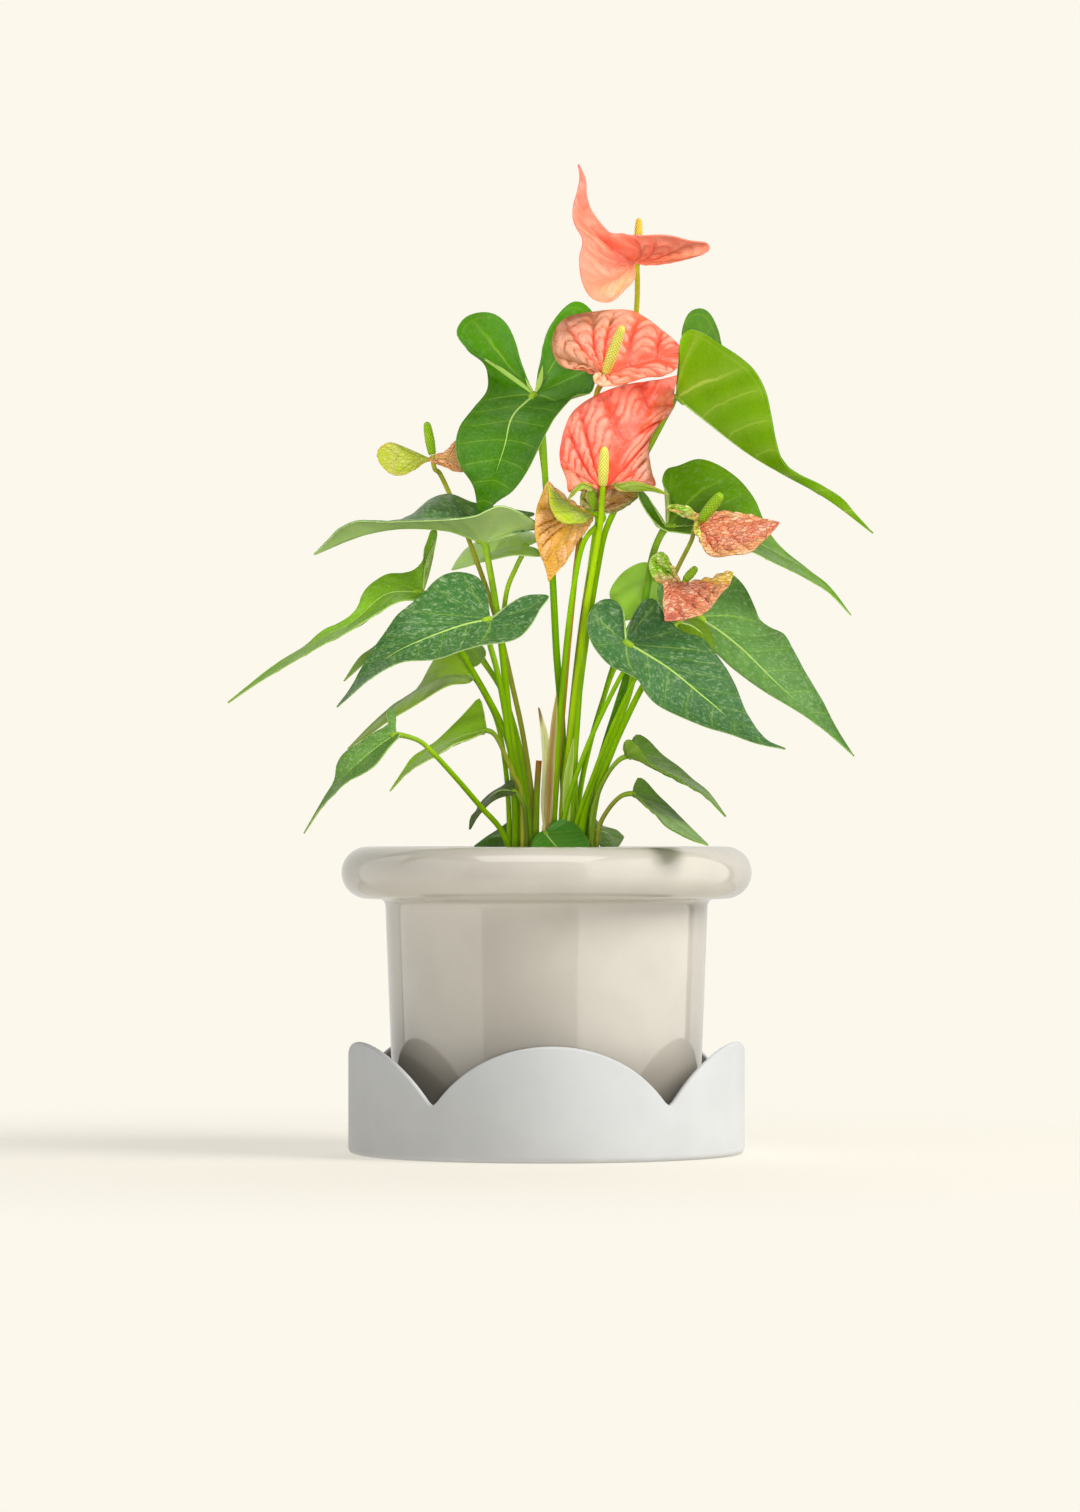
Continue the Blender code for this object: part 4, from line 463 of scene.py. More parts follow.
FLOWERS = {
    "top": dict(
        top=(45.5, 1, 446.5),
        rib=[(43.6, -1.2, 445.6), (35, -12, 451), (24, -18, 460), (17.5, -14, 472),
             (17.5, -9, 484), (16, -6, 494)],
        left_lobe=[(44, -2, 437), (38, -7, 430.5), (33, -12, 426), (27, -18, 425.5),
                   (21, -24, 429), (17.5, -28, 436)],
        left_side=[(17, -28, 447), (18, -26, 456), (14.7, -22, 463), (13, -18, 470),
                   (14.5, -13, 478), (16.8, -8.5, 488)],
        right_lobe=[(52, 2, 444), (65, 5, 446), (77, 7, 449), (81.5, 8, 451.5), (80, 5, 455),
                    (70, -6, 457)],
        right_side=[(60, -14, 458.5), (50, -18, 459), (40, -19, 459.5), (32, -17, 460),
                    (27, -13, 465), (22, -10, 472), (20, -8, 479), (19.5, -7, 487)],
        flaps=[],
        stem=[(8, 16.5, 150), (10, 19, 190), (13, 22, 225), (17, 24, 260), (21.5, 25, 290),
              (26, 24, 315), (30.5, 22, 340), (35, 21, 363), (39.5, 19, 385), (42.5, 16, 400),
              (44.6, 13, 416), (45.4, 8, 428), (45.5, 3, 437)],
        thick=(1.5, 1.3),
        spadix=(46.3, 2.5, 467.5),
        spadix_thick=2.2),
    "second": dict(
        top=(28.7, -6.8, 388.1),
        rib=[(29, -6, 388.5), (40, -5, 392.5), (52, -5, 396), (68, -4, 401)],
        left_lobe=[(25, -8, 390.5), (18, -14, 392), (11, -18, 391.5), (6, -18, 395),
                   (3.3, -14, 403), (4, -8, 411), (9, -2, 417)],
        left_side=[(18, 3, 420), (30, 6, 421), (42, 7, 421), (50, 5, 417.5), (58, 2, 411),
                   (64, -1, 406)],
        right_lobe=[(26, -9, 387.5), (23.3, -13, 388), (24.5, -16, 385.5), (29, -18, 383.3),
                    (35, -18, 383.5)],
        right_side=[(42, -16, 386), (50, -14, 387.5), (58, -10, 388.5), (65, -5, 392)],
        flaps=[],
        stem=[(2.5, 5, 150), (5, 6, 185), (8, 7, 220), (11, 8, 255), (14.5, 9, 290),
              (17.5, 10, 315), (20, 9, 340), (22.5, 6, 362), (25, 1, 379)],
        thick=(1.5, 1.4),
        spadix=(38, -22, 413.5),
        spadix_thick=2.9),
    "third": dict(
        top=(28, -24.2, 331.5),
        rib=[(28, -22, 331.5), (34, -25, 346), (44, -21, 362), (54, -12, 376), (65.8, -2, 388.5)],
        left_lobe=[(25, -25, 332), (20, -30, 333.5), (14, -32, 332), (11, -29, 331),
                   (9.5, -24, 337), (7, -18, 345)],
        left_side=[(6.8, -14, 352), (9.5, -10, 362), (14, -8, 371), (22, -7, 377.5), (34, -6, 382),
                   (46, -6, 385), (57, -6, 386.5)],
        right_lobe=[(33, -26, 333), (41, -30, 334), (49, -30, 333.5), (54.5, -28, 334)],
        right_side=[(52.5, -24, 341), (51, -20, 350), (52.5, -18, 358), (57, -14, 365),
                    (62, -9, 370), (63.5, -5, 376.5), (63.8, -3, 382)],
        flaps=[
            dict(
                rib=[(24.2, -25.2, 334.2), (18, -31, 333.6), (10.8, -31, 326.5)],
                left_lobe=[],
                left_side=[(22, -27, 330.8), (18, -31, 331.8), (14, -32, 329.2)],
                right_lobe=[],
                right_side=[(22, -29, 333.6), (18, -32, 335), (13.8, -32.5, 332.2)]),
            dict(
                rib=[(33.5, -25.6, 335), (38, -31.5, 332.6), (48, -34, 333), (61, -33, 328.7)],
                left_lobe=[],
                left_side=[(36, -31.5, 334.4), (44, -34.5, 335.8), (52, -35, 333.6),
                           (57, -34.5, 331.4)],
                right_lobe=[],
                right_side=[(36, -29, 331), (44, -31.5, 330.8), (52, -33, 331),
                            (57, -33.5, 329.8)])],
        stem=[(6.5, -9, 150), (8.5, -9.5, 180), (12, -11, 210), (15.5, -13, 240), (19.5, -16, 270),
              (24, -18, 297), (27, -20, 315)],
        thick=(1.7, 1.5),
        spadix=(29, -30, 353),
        spadix_thick=2.7),
    "fourth": dict(
        top=(24.6, 0.4, 320),
        rib=[(25, 2, 320.5), (33, 5, 325.5), (40, 8, 329), (48.5, 10, 331.5)],
        left_lobe=[(24, -3, 319.3), (28, -6, 319.5)],
        left_side=[(34, -4, 320.5), (40, 0, 323), (45, 6, 327)],
        right_lobe=[(22, 4, 323.5), (17.7, 2, 323), (17, 1, 328), (19, 1, 334), (24, 3, 338)],
        right_side=[(32, 7, 338), (41, 10, 336)],
        flaps=[],
        stem=[(11.5, -3.5, 150), (13, -3.5, 180), (15.5, -3.5, 215), (18, -3, 250), (21, -2, 285),
              (24, 0, 308)],
        thick=(1.5, 1.3),
        spadix=(22, -6, 332.5),
        spadix_thick=2.2),
    "tan": dict(
        top=(24.2, -12.8, 319),
        rib=[(23.5, -14, 318.5), (13, -23, 314), (5, -26, 304), (1.2, -23, 286)],
        left_lobe=[(17, -14, 321.5), (10, -15, 325.5), (4, -17, 331), (0, -19, 335),
                   (-2.5, -22, 328), (-5, -24, 321)],
        left_side=[(-6, -26, 314), (-5.3, -27, 307), (-3.5, -26, 300), (-1, -24.5, 293.5)],
        right_lobe=[(22, -11, 315), (19, -11, 312)],
        right_side=[(16, -14, 307), (13, -18, 301), (9, -21, 294.5), (5, -22.5, 290)],
        flaps=[
            dict(
                rib=[(22.5, -14, 318.8), (11, -19, 323.5), (0.6, -20, 334)],
                left_lobe=[],
                left_side=[(19, -22, 315), (12, -29, 314.5), (5, -30, 317), (1.8, -27, 324),
                           (1, -23, 330)],
                right_lobe=[],
                right_side=[(17, -15, 321.3), (10.3, -17, 325.3), (4.5, -18.5, 330.6)])],
        stem=[(3.5, -3, 150), (4.5, -3, 185), (7, -3.5, 220), (10, -4.5, 255), (14, -6, 285),
              (19, -9, 306)],
        thick=(1.5, 1.3),
        spadix=(13, -10.5, 323.3),
        spadix_thick=1.7),
    "right": dict(
        top=(76.4, -35.2, 315),
        rib=[(77, -34, 315), (90, -38, 313.5), (103, -40, 313.5), (116, -40, 315)],
        left_lobe=[(75, -37, 316.5), (73.8, -40, 313), (75, -43, 308.5), (78, -46, 304)],
        left_side=[(82, -48, 299.7), (89, -49, 297.5), (97, -49, 299), (104, -47, 302),
                   (110, -44, 307), (114, -41.5, 311.5)],
        right_lobe=[(70, -32, 320), (60, -31, 322), (63, -31, 324.5), (70, -31, 322.5),
                    (76, -31, 319.5)],
        right_side=[(84, -31, 320.3), (92, -32, 320.3), (101, -34, 319), (109, -37, 316.8)],
        flaps=[],
        stem=[(15.5, -2, 144), (19.5, -1, 170), (26, 0, 192), (34, 0, 212), (43, 0, 235),
              (51, 0, 258), (59, -2, 278), (66.5, -10, 294), (72.5, -24, 306)],
        thick=(1.3, 1.1),
        spadix=(87.5, -44, 329.5),
        spadix_thick=3),
    "low_right": dict(
        top=(68, -34.4, 284.6),
        rib=[(67, -36, 285), (63, -43, 279), (60.5, -47, 272), (59.5, -48, 266)],
        left_lobe=[(63, -36, 290), (61.5, -36, 297), (57, -34, 300.5), (52.5, -34, 298),
                   (51, -36, 293), (53, -38, 287.5), (57.5, -42, 285.3)],
        left_side=[(58.6, -45, 281), (58.2, -47, 275), (58.8, -48, 269.5)],
        right_lobe=[(73, -34, 284), (80, -33, 284), (88, -33, 286), (93.5, -34, 289),
                    (91, -38, 284.5)],
        right_side=[(87.5, -42, 279), (83, -45, 273.5), (77, -47.5, 269), (70, -49, 266.5),
                    (64, -49, 265.8)],
        flaps=[],
        stem=[(5.5, -15, 150), (10, -18, 172), (18, -22, 197), (28, -24, 220), (40, -24, 243),
              (52.5, -24, 261), (58.5, -25, 270), (62.8, -28.5, 277)],
        thick=(1.3, 1.1),
        spadix=(75, -31, 292.7),
        spadix_thick=2.2),
    "left": dict(
        top=(-56.8, 25, 347),
        rib=[(-60, 27.5, 346.6), (-50, 30, 347), (-42, 34, 347), (-34, 38, 346)],
        left_lobe=[(-56, 29, 349)],
        left_side=[(-50, 34, 350.5), (-45, 38, 356), (-39, 39, 353.5)],
        right_lobe=[(-57, 22, 345)],
        right_side=[(-52, 24, 343.5), (-45, 28, 340.5), (-39, 33, 341)],
        flaps=[
            dict(
                rib=[(-54.5, 27.8, 346.6), (-66, 22, 347.5), (-76, 20, 348), (-84.5, 20, 348.5)],
                left_lobe=[],
                left_side=[(-61, 22.5, 345.3), (-66, 20, 341.5), (-72, 18, 338.7),
                           (-78, 18, 339.3), (-83, 19, 344)],
                right_lobe=[],
                right_side=[(-61, 25.5, 347.8), (-66, 25, 350), (-72, 24, 353), (-79, 22, 355),
                            (-83.7, 21, 352)])],
        stem=[(-4, 7.5, 150), (-7.5, 9, 180), (-12, 13, 210), (-17, 16, 233), (-22.5, 20, 257),
              (-29, 26, 279), (-35, 31, 296), (-41, 34, 312), (-47, 33, 326), (-53, 29, 339)],
        thick=(1.4, 1.2),
        spadix=(-60, 24, 365.5),
        spadix_thick=2.5),
}

SHEATHS = {
    "sheath_pale": dict(
        rib=[(-1, -9, 160), (0.5, -9.5, 185), (-0.5, -9.5, 205), (-3.8, -9.5, 222)],
        left_lobe=[],
        left_side=[(-2.5, -9, 175), (-1.7, -9, 195), (-2.8, -9.2, 211)],
        right_lobe=[],
        right_side=[(1.2, -10.5, 170), (2.4, -10.5, 192), (1.2, -10, 207)],
        stem=[(-1, -9, 148), (-1, -9, 154)],
        thick=(1.6, 1.4)),
    "sheath_green": dict(
        rib=[(10, -13.5, 160), (10.3, -14, 178), (12, -14, 195), (13.6, -14, 207)],
        left_lobe=[],
        left_side=[(8.3, -13.5, 172), (9, -13.5, 188), (11.6, -13.7, 200)],
        right_lobe=[],
        right_side=[(11.8, -14.5, 168), (12.6, -14.7, 183), (13.8, -14.4, 198)],
        stem=[(10, -13.5, 148), (10, -13.5, 154)],
        thick=(1.6, 1.4)),
    "sheath_brown": dict(
        rib=[(1, -13.5, 160), (1.8, -13.5, 185), (3.6, -14, 210), (5.2, -14, 229)],
        left_lobe=[],
        left_side=[(-0.5, -13, 172), (0.6, -13, 195), (3, -13.6, 218)],
        right_lobe=[],
        right_side=[(2.8, -14, 170), (4.2, -14.2, 196), (5.4, -14.2, 218)],
        stem=[(1, -13.5, 148), (1, -13.5, 154)],
        thick=(1.6, 1.4)),
}

STUB = dict(
    stem=[(-5.5, -5, 150), (-5, -5, 175), (-3.8, -5, 196)],
    thick=(1.8, 1.5))


def srgb(red, green, blue):
    """A screen colour, 0 to 255, as linear light."""
    made = []
    for value in (red, green, blue):
        v = value / 255
        made.append(v / 12.92 if v <= 0.04045 else ((v + 0.055) / 1.055) ** 2.4)
    return tuple(made)


def solid(colour):
    """A screen colour as the four values that a node takes."""
    return (*srgb(*colour), 1)


# Leaf colours: upper face, underside, and how much pale bloom marks the upper face
LEAF_LOOKS = {
    "leaf_upper_left": ((52, 104, 0), (150, 186, 84), 0.12),
    "leaf_left_high": ((64, 108, 48), (176, 202, 124), 0.9),
    "leaf_left_behind": ((166, 208, 84), (214, 230, 164), 1.0),
    "leaf_far_left": ((114, 160, 26), (160, 184, 100), 0.45),
    "leaf_left_broad": ((60, 106, 54), (160, 184, 116), 0.85),
    "leaf_left_under": ((142, 176, 38), (200, 214, 140), 0.2),
    "leaf_left_rear": ((116, 150, 56), (166, 188, 112), 0.2),
    "leaf_left_low": ((92, 134, 56), (168, 190, 112), 0.6),
    "leaf_left_slim": ((138, 180, 36), (190, 206, 124), 0.15),
    "leaf_withered": ((78, 96, 48), (104, 112, 58), 0.3),
    "leaf_rim_left": ((72, 122, 18), (104, 150, 44), 0.05),
    "leaf_rim_front": ((60, 122, 28), (104, 150, 50), 0.1),
    "leaf_rim_right": ((84, 110, 52), (116, 132, 76), 0.6),
    "leaf_upper_right": ((62, 106, 10), (112, 162, 0), 0.05),
    "leaf_right_high": ((86, 132, 4), (170, 196, 110), 0.2),
    "leaf_right_broad": ((52, 96, 50), (150, 186, 100), 0.5),
    "leaf_right_long": ((84, 126, 60), (160, 190, 104), 0.5),
    "leaf_right_behind": ((160, 208, 70), (176, 206, 108), 0.15),
    "leaf_right_young": ((86, 116, 18), (186, 208, 100), 0.1),
    "leaf_right_small": ((88, 120, 42), (132, 172, 50), 0.4),
    "leaf_right_low": ((106, 144, 56), (150, 180, 70), 0.4),
    "leaf_back_high": ((78, 138, 26), (150, 184, 84), 0.1),
    "leaf_back_right": ((88, 142, 40), (150, 184, 94), 0.2),
    "leaf_back_left": ((88, 142, 36), (150, 184, 92), 0.2),
}
# Painted sheen: how much lighter a leaf is on its lobes than along its middle
LOBE_PAINTED_SHEEN = {"leaf_upper_left": 0.6, "leaf_right_broad": -0.1}

# Spathe colours: middle, margin, left lobe, right lobe, tip, the other face, the flaps
SPATHE_LOOKS = {
    "top": ((246, 100, 80), (250, 128, 108), (252, 178, 124), (248, 128, 90), (240, 94, 90),
            (252, 140, 104), (250, 132, 98)),
    "second": ((242, 82, 54), (236, 112, 76), (150, 94, 48), (246, 176, 136), (244, 84, 58),
               (240, 150, 112), (240, 150, 112)),
    "third": ((244, 86, 60), (234, 84, 56), (200, 92, 46), (130, 76, 32), (248, 96, 72),
              (224, 116, 72), (136, 168, 30)),
    "fourth": ((156, 118, 40), (116, 134, 38), (184, 126, 50), (128, 142, 40), (92, 134, 32),
               (156, 122, 46), (156, 122, 46)),
    "tan": ((206, 150, 38), (210, 156, 48), (200, 154, 44), (170, 138, 28), (212, 156, 50),
            (222, 176, 70), (168, 198, 20)),
    "right": ((216, 122, 84), (222, 158, 92), (200, 204, 66), (136, 192, 8), (206, 100, 70),
              (214, 136, 86), (214, 136, 86)),
    "low_right": ((204, 112, 78), (214, 142, 90), (132, 196, 0), (224, 196, 76), (198, 96, 68),
                  (204, 130, 78), (204, 130, 78)),
    "left": ((240, 176, 104), (232, 150, 80), (240, 176, 100), (236, 170, 96), (228, 140, 74),
             (240, 190, 110), (176, 190, 36)),
}
# The side of a spathe that is browned from its lobe on
BROWN_SIDES = {"second": "left", "third": "right"}
# How wrinkled each spathe is, 0 to 1
SPATHE_AGE = {"top": 0.0, "second": 0.12, "third": 0.1, "fourth": 0.4, "tan": 0.35, "right": 1.0,
              "low_right": 1.0, "left": 0.4}
# Painted shade in the grooves: what the pits between a spathe's raised cells take from its red, green and
# blue
GROOVE_SHADE = (0.05, 0.1, 0.09)
# Painted highlight on the tops of a spathe's raised cells
CUSHION_HIGHLIGHT_COLOUR = (255, 186, 158)
CREASE_COLOUR = (246, 214, 170)
WRINKLE_COLOUR = (120, 60, 46)
SPADIX_COLOURS = {
    "top": (248, 200, 70),
    "second": (236, 226, 108),
    "third": (236, 226, 108),
    "fourth": (150, 190, 28),
    "tan": (150, 190, 28),
    "right": (150, 190, 28),
    "low_right": (150, 190, 28),
    "left": (150, 190, 28),
}
PEDUNCLE_COLOURS = {
    "top": (170, 166, 40),
    "second": (176, 136, 40),
    "third": (150, 186, 10),
    "fourth": (130, 178, 6),
    "tan": (130, 180, 4),
    "right": (150, 146, 46),
    "low_right": (130, 180, 8),
    "left": (150, 150, 46),
}
PETIOLE = (126, 172, 0)
PETIOLE_COLOURS = {
    "leaf_upper_left": (112, 168, 2),
    "leaf_left_slim": (168, 170, 50),
    "leaf_right_high": (88, 146, 22),
    "leaf_right_low": (150, 150, 56),
    "leaf_right_small": (132, 160, 46),
    "leaf_withered": (96, 120, 36),
}
RIB_COLOUR = (166, 196, 104)
PETIOLE_TOP = (140, 174, 50)
STEM_FOOT_COLOUR = (160, 190, 50)
FLUSH_COLOUR = (176, 210, 20)
VEIN_COLOUR = (160, 200, 60)
UNDER_VEIN_COLOUR = (200, 220, 100)
BLOOM_COLOUR = (184, 206, 160)
STUB_COLOUR = (116, 152, 26)
STUB_TOP = (150, 84, 40)
# Sheaths: colour, margin and material slot
SHEATH_LOOKS = {
    "sheath_pale": ((206, 206, 132), (222, 214, 168), "sheath_pale"),
    "sheath_green": ((152, 186, 66), (196, 204, 120), "stem_green"),
    "sheath_brown": ((158, 128, 70), (196, 172, 120), "sheath_brown"),
}
SHEATH_TIP = (130, 86, 48)

GLAZE_COLOURS = ((191, 185, 174), (197, 191, 180))
SPECK_COLOUR = (160, 150, 136)
GLAZE_FOOT_SHADE_COLOUR = (104, 96, 82)
# Painted shade on the glaze at the foot, inside the saucer: darkest up to the first height below above the
# table, and plain from the second on
FOOT_SHADE_FULL = 30.0
FOOT_SHADE_END = 62.0
CLAY_COLOURS = ((198, 200, 202), (204, 206, 208))
# Painted shade for the saucer's inside
CLAY_INSIDE_SHADE_COLOUR = (120, 118, 114)
SOIL_DARK = (38, 28, 22)
SOIL_WARM = (74, 54, 38)
CRUMB_COLOURS = ((60, 44, 32), (96, 70, 48), (120, 92, 62), (40, 30, 24), (196, 188, 172))
CREAM = (252, 248, 236)
FLOOR_COLOUR = (240, 235, 222)
# The tint of surfaces whose materials read none
NO_TINT = (0.5, 0.5, 0.5, 0)


def unit(vectors):
    length = np.linalg.norm(vectors, axis=-1, keepdims=True)
    return vectors / np.maximum(length, 1e-12)


def ramp(low, high, values):
    """Smoothly 0 below low and 1 above high."""
    t = np.clip((np.asarray(values, float) - low) / (high - low), 0, 1)
    return t * t * (3 - 2 * t)


def blend(a, b, amount):
    return a + (b - a) * np.asarray(amount)[..., None]


def carried(tint, amount):
    """Colours with a fourth value beside them, which the materials read as an amount."""
    tint = np.asarray(tint)
    return np.concatenate([tint, np.full(tint.shape[:-1] + (1,), float(amount))], -1)


def rough(points, size, seed=0.0):
    """Noise about -1 to 1 at points in metres, with lumps of about this size in millimetres."""
    scale = 1 / (size * MM)
    flat = np.asarray(points, float).reshape(-1, 3) * scale + seed
    made = np.array([noise.noise(Vector(p)) for p in flat])
    return made.reshape(np.asarray(points).shape[:-1])


def lined_up(points):
    """Real places, in metres, of points read where they line up with the plane through the axis."""
    p = np.atleast_2d(np.asarray(points, float)) * (1, FULLNESS, 1)
    spread = 1 + p[:, 1] / EYE_FAR
    return np.column_stack([p[:, 0] * spread, p[:, 1], EYE_HIGH + (p[:, 2] - EYE_HIGH) * spread]) * MM


def spline(points, per=LINE_STEPS):
    """A smooth line through the points, with this many steps to each stretch."""
    p = np.asarray(points, float)
    p = np.vstack([2 * p[0] - p[1], p, 2 * p[-1] - p[-2]])
    t = np.linspace(0, 1, per, endpoint=False)[:, None]
    out = []
    for a, b, c, d in zip(p, p[1:], p[2:], p[3:]):
        bend = (2 * a - 5 * b + 4 * c - d) * t**2 + (3 * b - a - 3 * c + d) * t**3
        out.append(0.5 * (2 * b + (c - a) * t + bend))
    return np.vstack(out + [p[-2][None]])


def run_of(line):
    """How far along the line each of its points is."""
    return np.concatenate([[0], np.cumsum(np.linalg.norm(np.diff(line, axis=0), axis=1))])


def even(line, steps):
    """The line's points again, at even distances along it."""
    run = run_of(line)
    want = np.linspace(0, run[-1], steps + 1)
    return np.column_stack([np.interp(want, run, line[:, k]) for k in range(line.shape[1])])


def outline_at(outline, fraction):
    """Places at these fractions of an outline's length."""
    run = run_of(np.array(outline, float))
    want = np.asarray(fraction) * run[-1]
    return np.column_stack([np.interp(want, run, [p[k] for p in outline]) for k in (0, 1)])


def midrib(blade, steps):
    return even(spline(lined_up(blade["rib"])), steps)


def margin(blade, side):
    """One edge of a blade, from the base round the lobe to the tip, as its lobe part and its side part."""
    rib = lined_up(blade["rib"])
    lobe = blade[side + "_lobe"]
    edge = lined_up(lobe + blade[side + "_side"])
    apart = unit(edge[-1] - rib[-2])
    line = spline(np.vstack([rib[:1], edge, rib[-1:] + apart * TIP_HALF_WIDTH * MM]))
    split = LINE_STEPS * max(len(lobe), 1)
    return line[: split + 1], line[split:]


def calm(normals, points, grids, lobe_steps):
    """Normals that turn less across a blade where it is narrow, so that its two faces don't cross there."""
    means = [unit(normals[grid].mean(1)) for grid in grids]
    both = unit(means[0] + means[1])
    for grid, mean in zip(grids, means):
        mean = np.vstack([mean[:lobe_steps], both[lobe_steps:]])
        wide = np.linalg.norm(points[grid[:, -1]] - points[grid[:, 0]], axis=1)
        own = ramp(2 * MM, 9 * MM, wide)[:, None, None]
        normals[grid] = unit(mean[:, None] + (normals[grid] - mean[:, None]) * own)
    return normals


def welded(halves):
    """The points, tints and numbered grids of two half sheets that share the midrib."""
    index, points, tops, unders, grids = {}, [], [], [], []
    for number, half in enumerate(halves):
        rows, columns = half["points"].shape[:2]
        grid = np.empty((rows, columns), int)
        for r in range(rows):
            for c in range(columns):
                key = (number, r, c)
                if r == 0:
                    key = ("rib", max(c - half["lobe_steps"], 0))
                elif c == 0:
                    key = ("rib", 0)
                if key not in index:
                    index[key] = len(points)
                    points.append(half["points"][r, c])
                    tops.append(half["top"][r, c])
                    unders.append(half["under"][r, c])
                grid[r, c] = index[key]
        grids.append(grid)
    return np.array(points), np.vstack([tops, unders]), grids


def sheet_faces(halves, grids):
    """The faces of both half sheets, all turned the same way, with their leaf coordinates."""
    faces, coords = [], []
    for number, (half, grid) in enumerate(zip(halves, grids)):
        rows, columns = grid.shape
        for r in range(rows - 1):
            for c in range(columns - 1):
                corners = [(r, c), (r, c + 1), (r + 1, c + 1), (r + 1, c)]
                if number == 1:
                    corners = corners[::-1]
                face, place = [], []
                for corner in corners:
                    if grid[corner] not in face:
                        face.append(int(grid[corner]))
                        place.append(tuple(half["coords"][corner]))
                if len(face) > 2:
                    faces.append(tuple(face))
                    coords.append(place)
    return faces, coords


def point_normals(points, faces):
    normals = np.zeros_like(points)
    for face in faces:
        a, b, c = points[list(face[:3])]
        if len(face) == 4:
            normals[list(face)] += np.cross(c - a, points[face[3]] - b)
        else:
            normals[list(face)] += np.cross(b - a, c - a)
    return unit(normals)


class Shape:
    """Points, faces, tints and leaf coordinates that become one mesh."""

    def __init__(self):
        self.points = []
        self.tints = []
        self.faces = []
        self.slots = []
        self.coords = []

    def add(self, points, tints, faces, slot, coords=None):
        start = len(self.points)
        self.points += [tuple(p) for p in points]
        self.tints += [tuple(t) for t in tints]
        self.faces += [tuple(start + i for i in face) for face in faces]
        self.slots += list(slot) if np.ndim(slot) else [slot] * len(faces)
        self.coords += coords if coords else [[(0.5, 0.5)] * len(face) for face in faces]

    def tube(self, line, radii, tints, slot, sides=STEM_SIDES):
        """A closed tube; radii are in metres, and they and the tints may vary round it."""
        along = unit(np.gradient(line, axis=0))
        side = np.cross(along[0], (0.31, 0.94, 0.12))
        sides_at = []
        for direction in along:
            side = unit(side - direction * (side @ direction))
            sides_at.append(side)
        sides_at = np.array(sides_at)
        across = np.cross(along, sides_at)
        turn = (np.arange(sides) / sides * 2 * math.pi)[None, :, None]
        ring = np.cos(turn) * sides_at[:, None] + np.sin(turn) * across[:, None]
        if radii.ndim == 1:
            radii = np.repeat(radii[:, None], sides, 1)
        if tints.ndim == 2:
            tints = np.repeat(tints[:, None], sides, 1)
        points = line[:, None] + ring * radii[..., None]
        last = len(line) - 1
        faces, coords = [], []
        for i in range(last):
            for j in range(sides):
                k = (j + 1) % sides
                faces.append((i * sides + j, i * sides + k, (i + 1) * sides + k, (i + 1) * sides + j))
                low, high = i / last, (i + 1) / last
                near, far = j / sides, (j + 1) / sides
                coords.append([(near, low), (far, low), (far, high), (near, high)])
        faces.append(tuple(range(sides))[::-1])
        faces.append(tuple(last * sides + j for j in range(sides)))
        coords += [[(0.5, 0.0)] * sides, [(0.5, 1.0)] * sides]
        self.add(points.reshape(-1, 3), tints.reshape(-1, tints.shape[-1]), faces, slot, coords)

    def blade(self, halves, up, thick, slots):
        """Two half sheets as a thin solid; slots are those of its upper face, underside and edge."""
        points, tints, grids = welded(halves)
        faces, coords = sheet_faces(halves, grids)
        normals = calm(point_normals(points, faces), points, grids, halves[0]["lobe_steps"]) * up
        if up < 0:
            faces = [face[::-1] for face in faces]
            coords = [place[::-1] for place in coords]
        edges = {}
        for face, place in zip(faces, coords):
            for k in range(len(face)):
                after = (k + 1) % len(face)
                edges[face[k], face[after]] = (place[k], place[after])
        count = len(points)
        rim, rim_coords = [], []
        for (a, b), (at_a, at_b) in edges.items():
            if (b, a) not in edges:
                rim.append((b, a, a + count, b + count))
                rim_coords.append([at_b, at_a, at_a, at_b])
        under = [tuple(i + count for i in face[::-1]) for face in faces]
        coords = coords + [place[::-1] for place in coords] + rim_coords
        top_slot, under_slot, edge_slot = slots
        numbers = [top_slot] * len(faces) + [under_slot] * len(under) + [edge_slot] * len(rim)
        shift = normals * thick / 2
        self.add(np.vstack([points + shift, points - shift]), tints, faces + under + rim, numbers, coords)

    def build(self, name, materials, keep_in=True):
        """The mesh object; keep_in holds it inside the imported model's box."""
        mesh = bpy.data.meshes.new(name)
        points = np.array(self.points, float)
        if keep_in:
            low, high = (np.array(corner) for corner in SIZE_BEFORE)
            points = np.clip(points, low + INSIDE, high - INSIDE)
        mesh.from_pydata([tuple(p) for p in points], [], self.faces)
        for made in materials:
            mesh.materials.append(made)
        mesh.polygons.foreach_set("material_index", self.slots)
        tint = mesh.attributes.new("tint", "FLOAT_COLOR", "POINT")
        tint.data.foreach_set("color", np.array(self.tints, float).reshape(-1))
        veins = mesh.uv_layers.new(name="veins")
        veins.uv.foreach_set("vector", [value for face in self.coords for place in face for value in place])
        mesh.shade_smooth()
        mesh.set_sharp_from_angle(angle=math.radians(SHARP_ANGLE))
        mesh.update()
        obj = bpy.data.objects.new(name, mesh)
        bpy.context.scene.collection.objects.link(obj)
        return obj


def dress(obj, node):
    """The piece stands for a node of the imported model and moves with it."""
    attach(obj, "root")
    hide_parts(node)


def leaf_places(lobe_steps, rib_steps, v):
    """Where each point is on a leaf laid flat: how far along the midrib, and how far across."""
    lobe = outline_at(LOBE_OUTLINE, np.linspace(0, 1, lobe_steps, endpoint=False))
    side = outline_at(SIDE_OUTLINE, np.linspace(0, 1, rib_steps + 1))
    outer = np.vstack([lobe, side])
    inner = np.zeros_like(outer)
    inner[lobe_steps:, 0] = np.linspace(0, 1, rib_steps + 1)
    return inner + v[..., None] * (outer - inner)


def vein_phase(form, place):
    """A number that is whole on every side vein: positive on the leaf's sides, negative in its lobes."""
    across = np.abs(place[..., 1])
    start = place[..., 0] - form["sweep"] * across ** form["bend"]
    basal = np.arctan2(-np.minimum(start, 0), across * 0.9 + 1e-6) / (math.pi / 2)
    return np.where(start >= 0, form["laterals"] * start, -form["basals"] * basal)


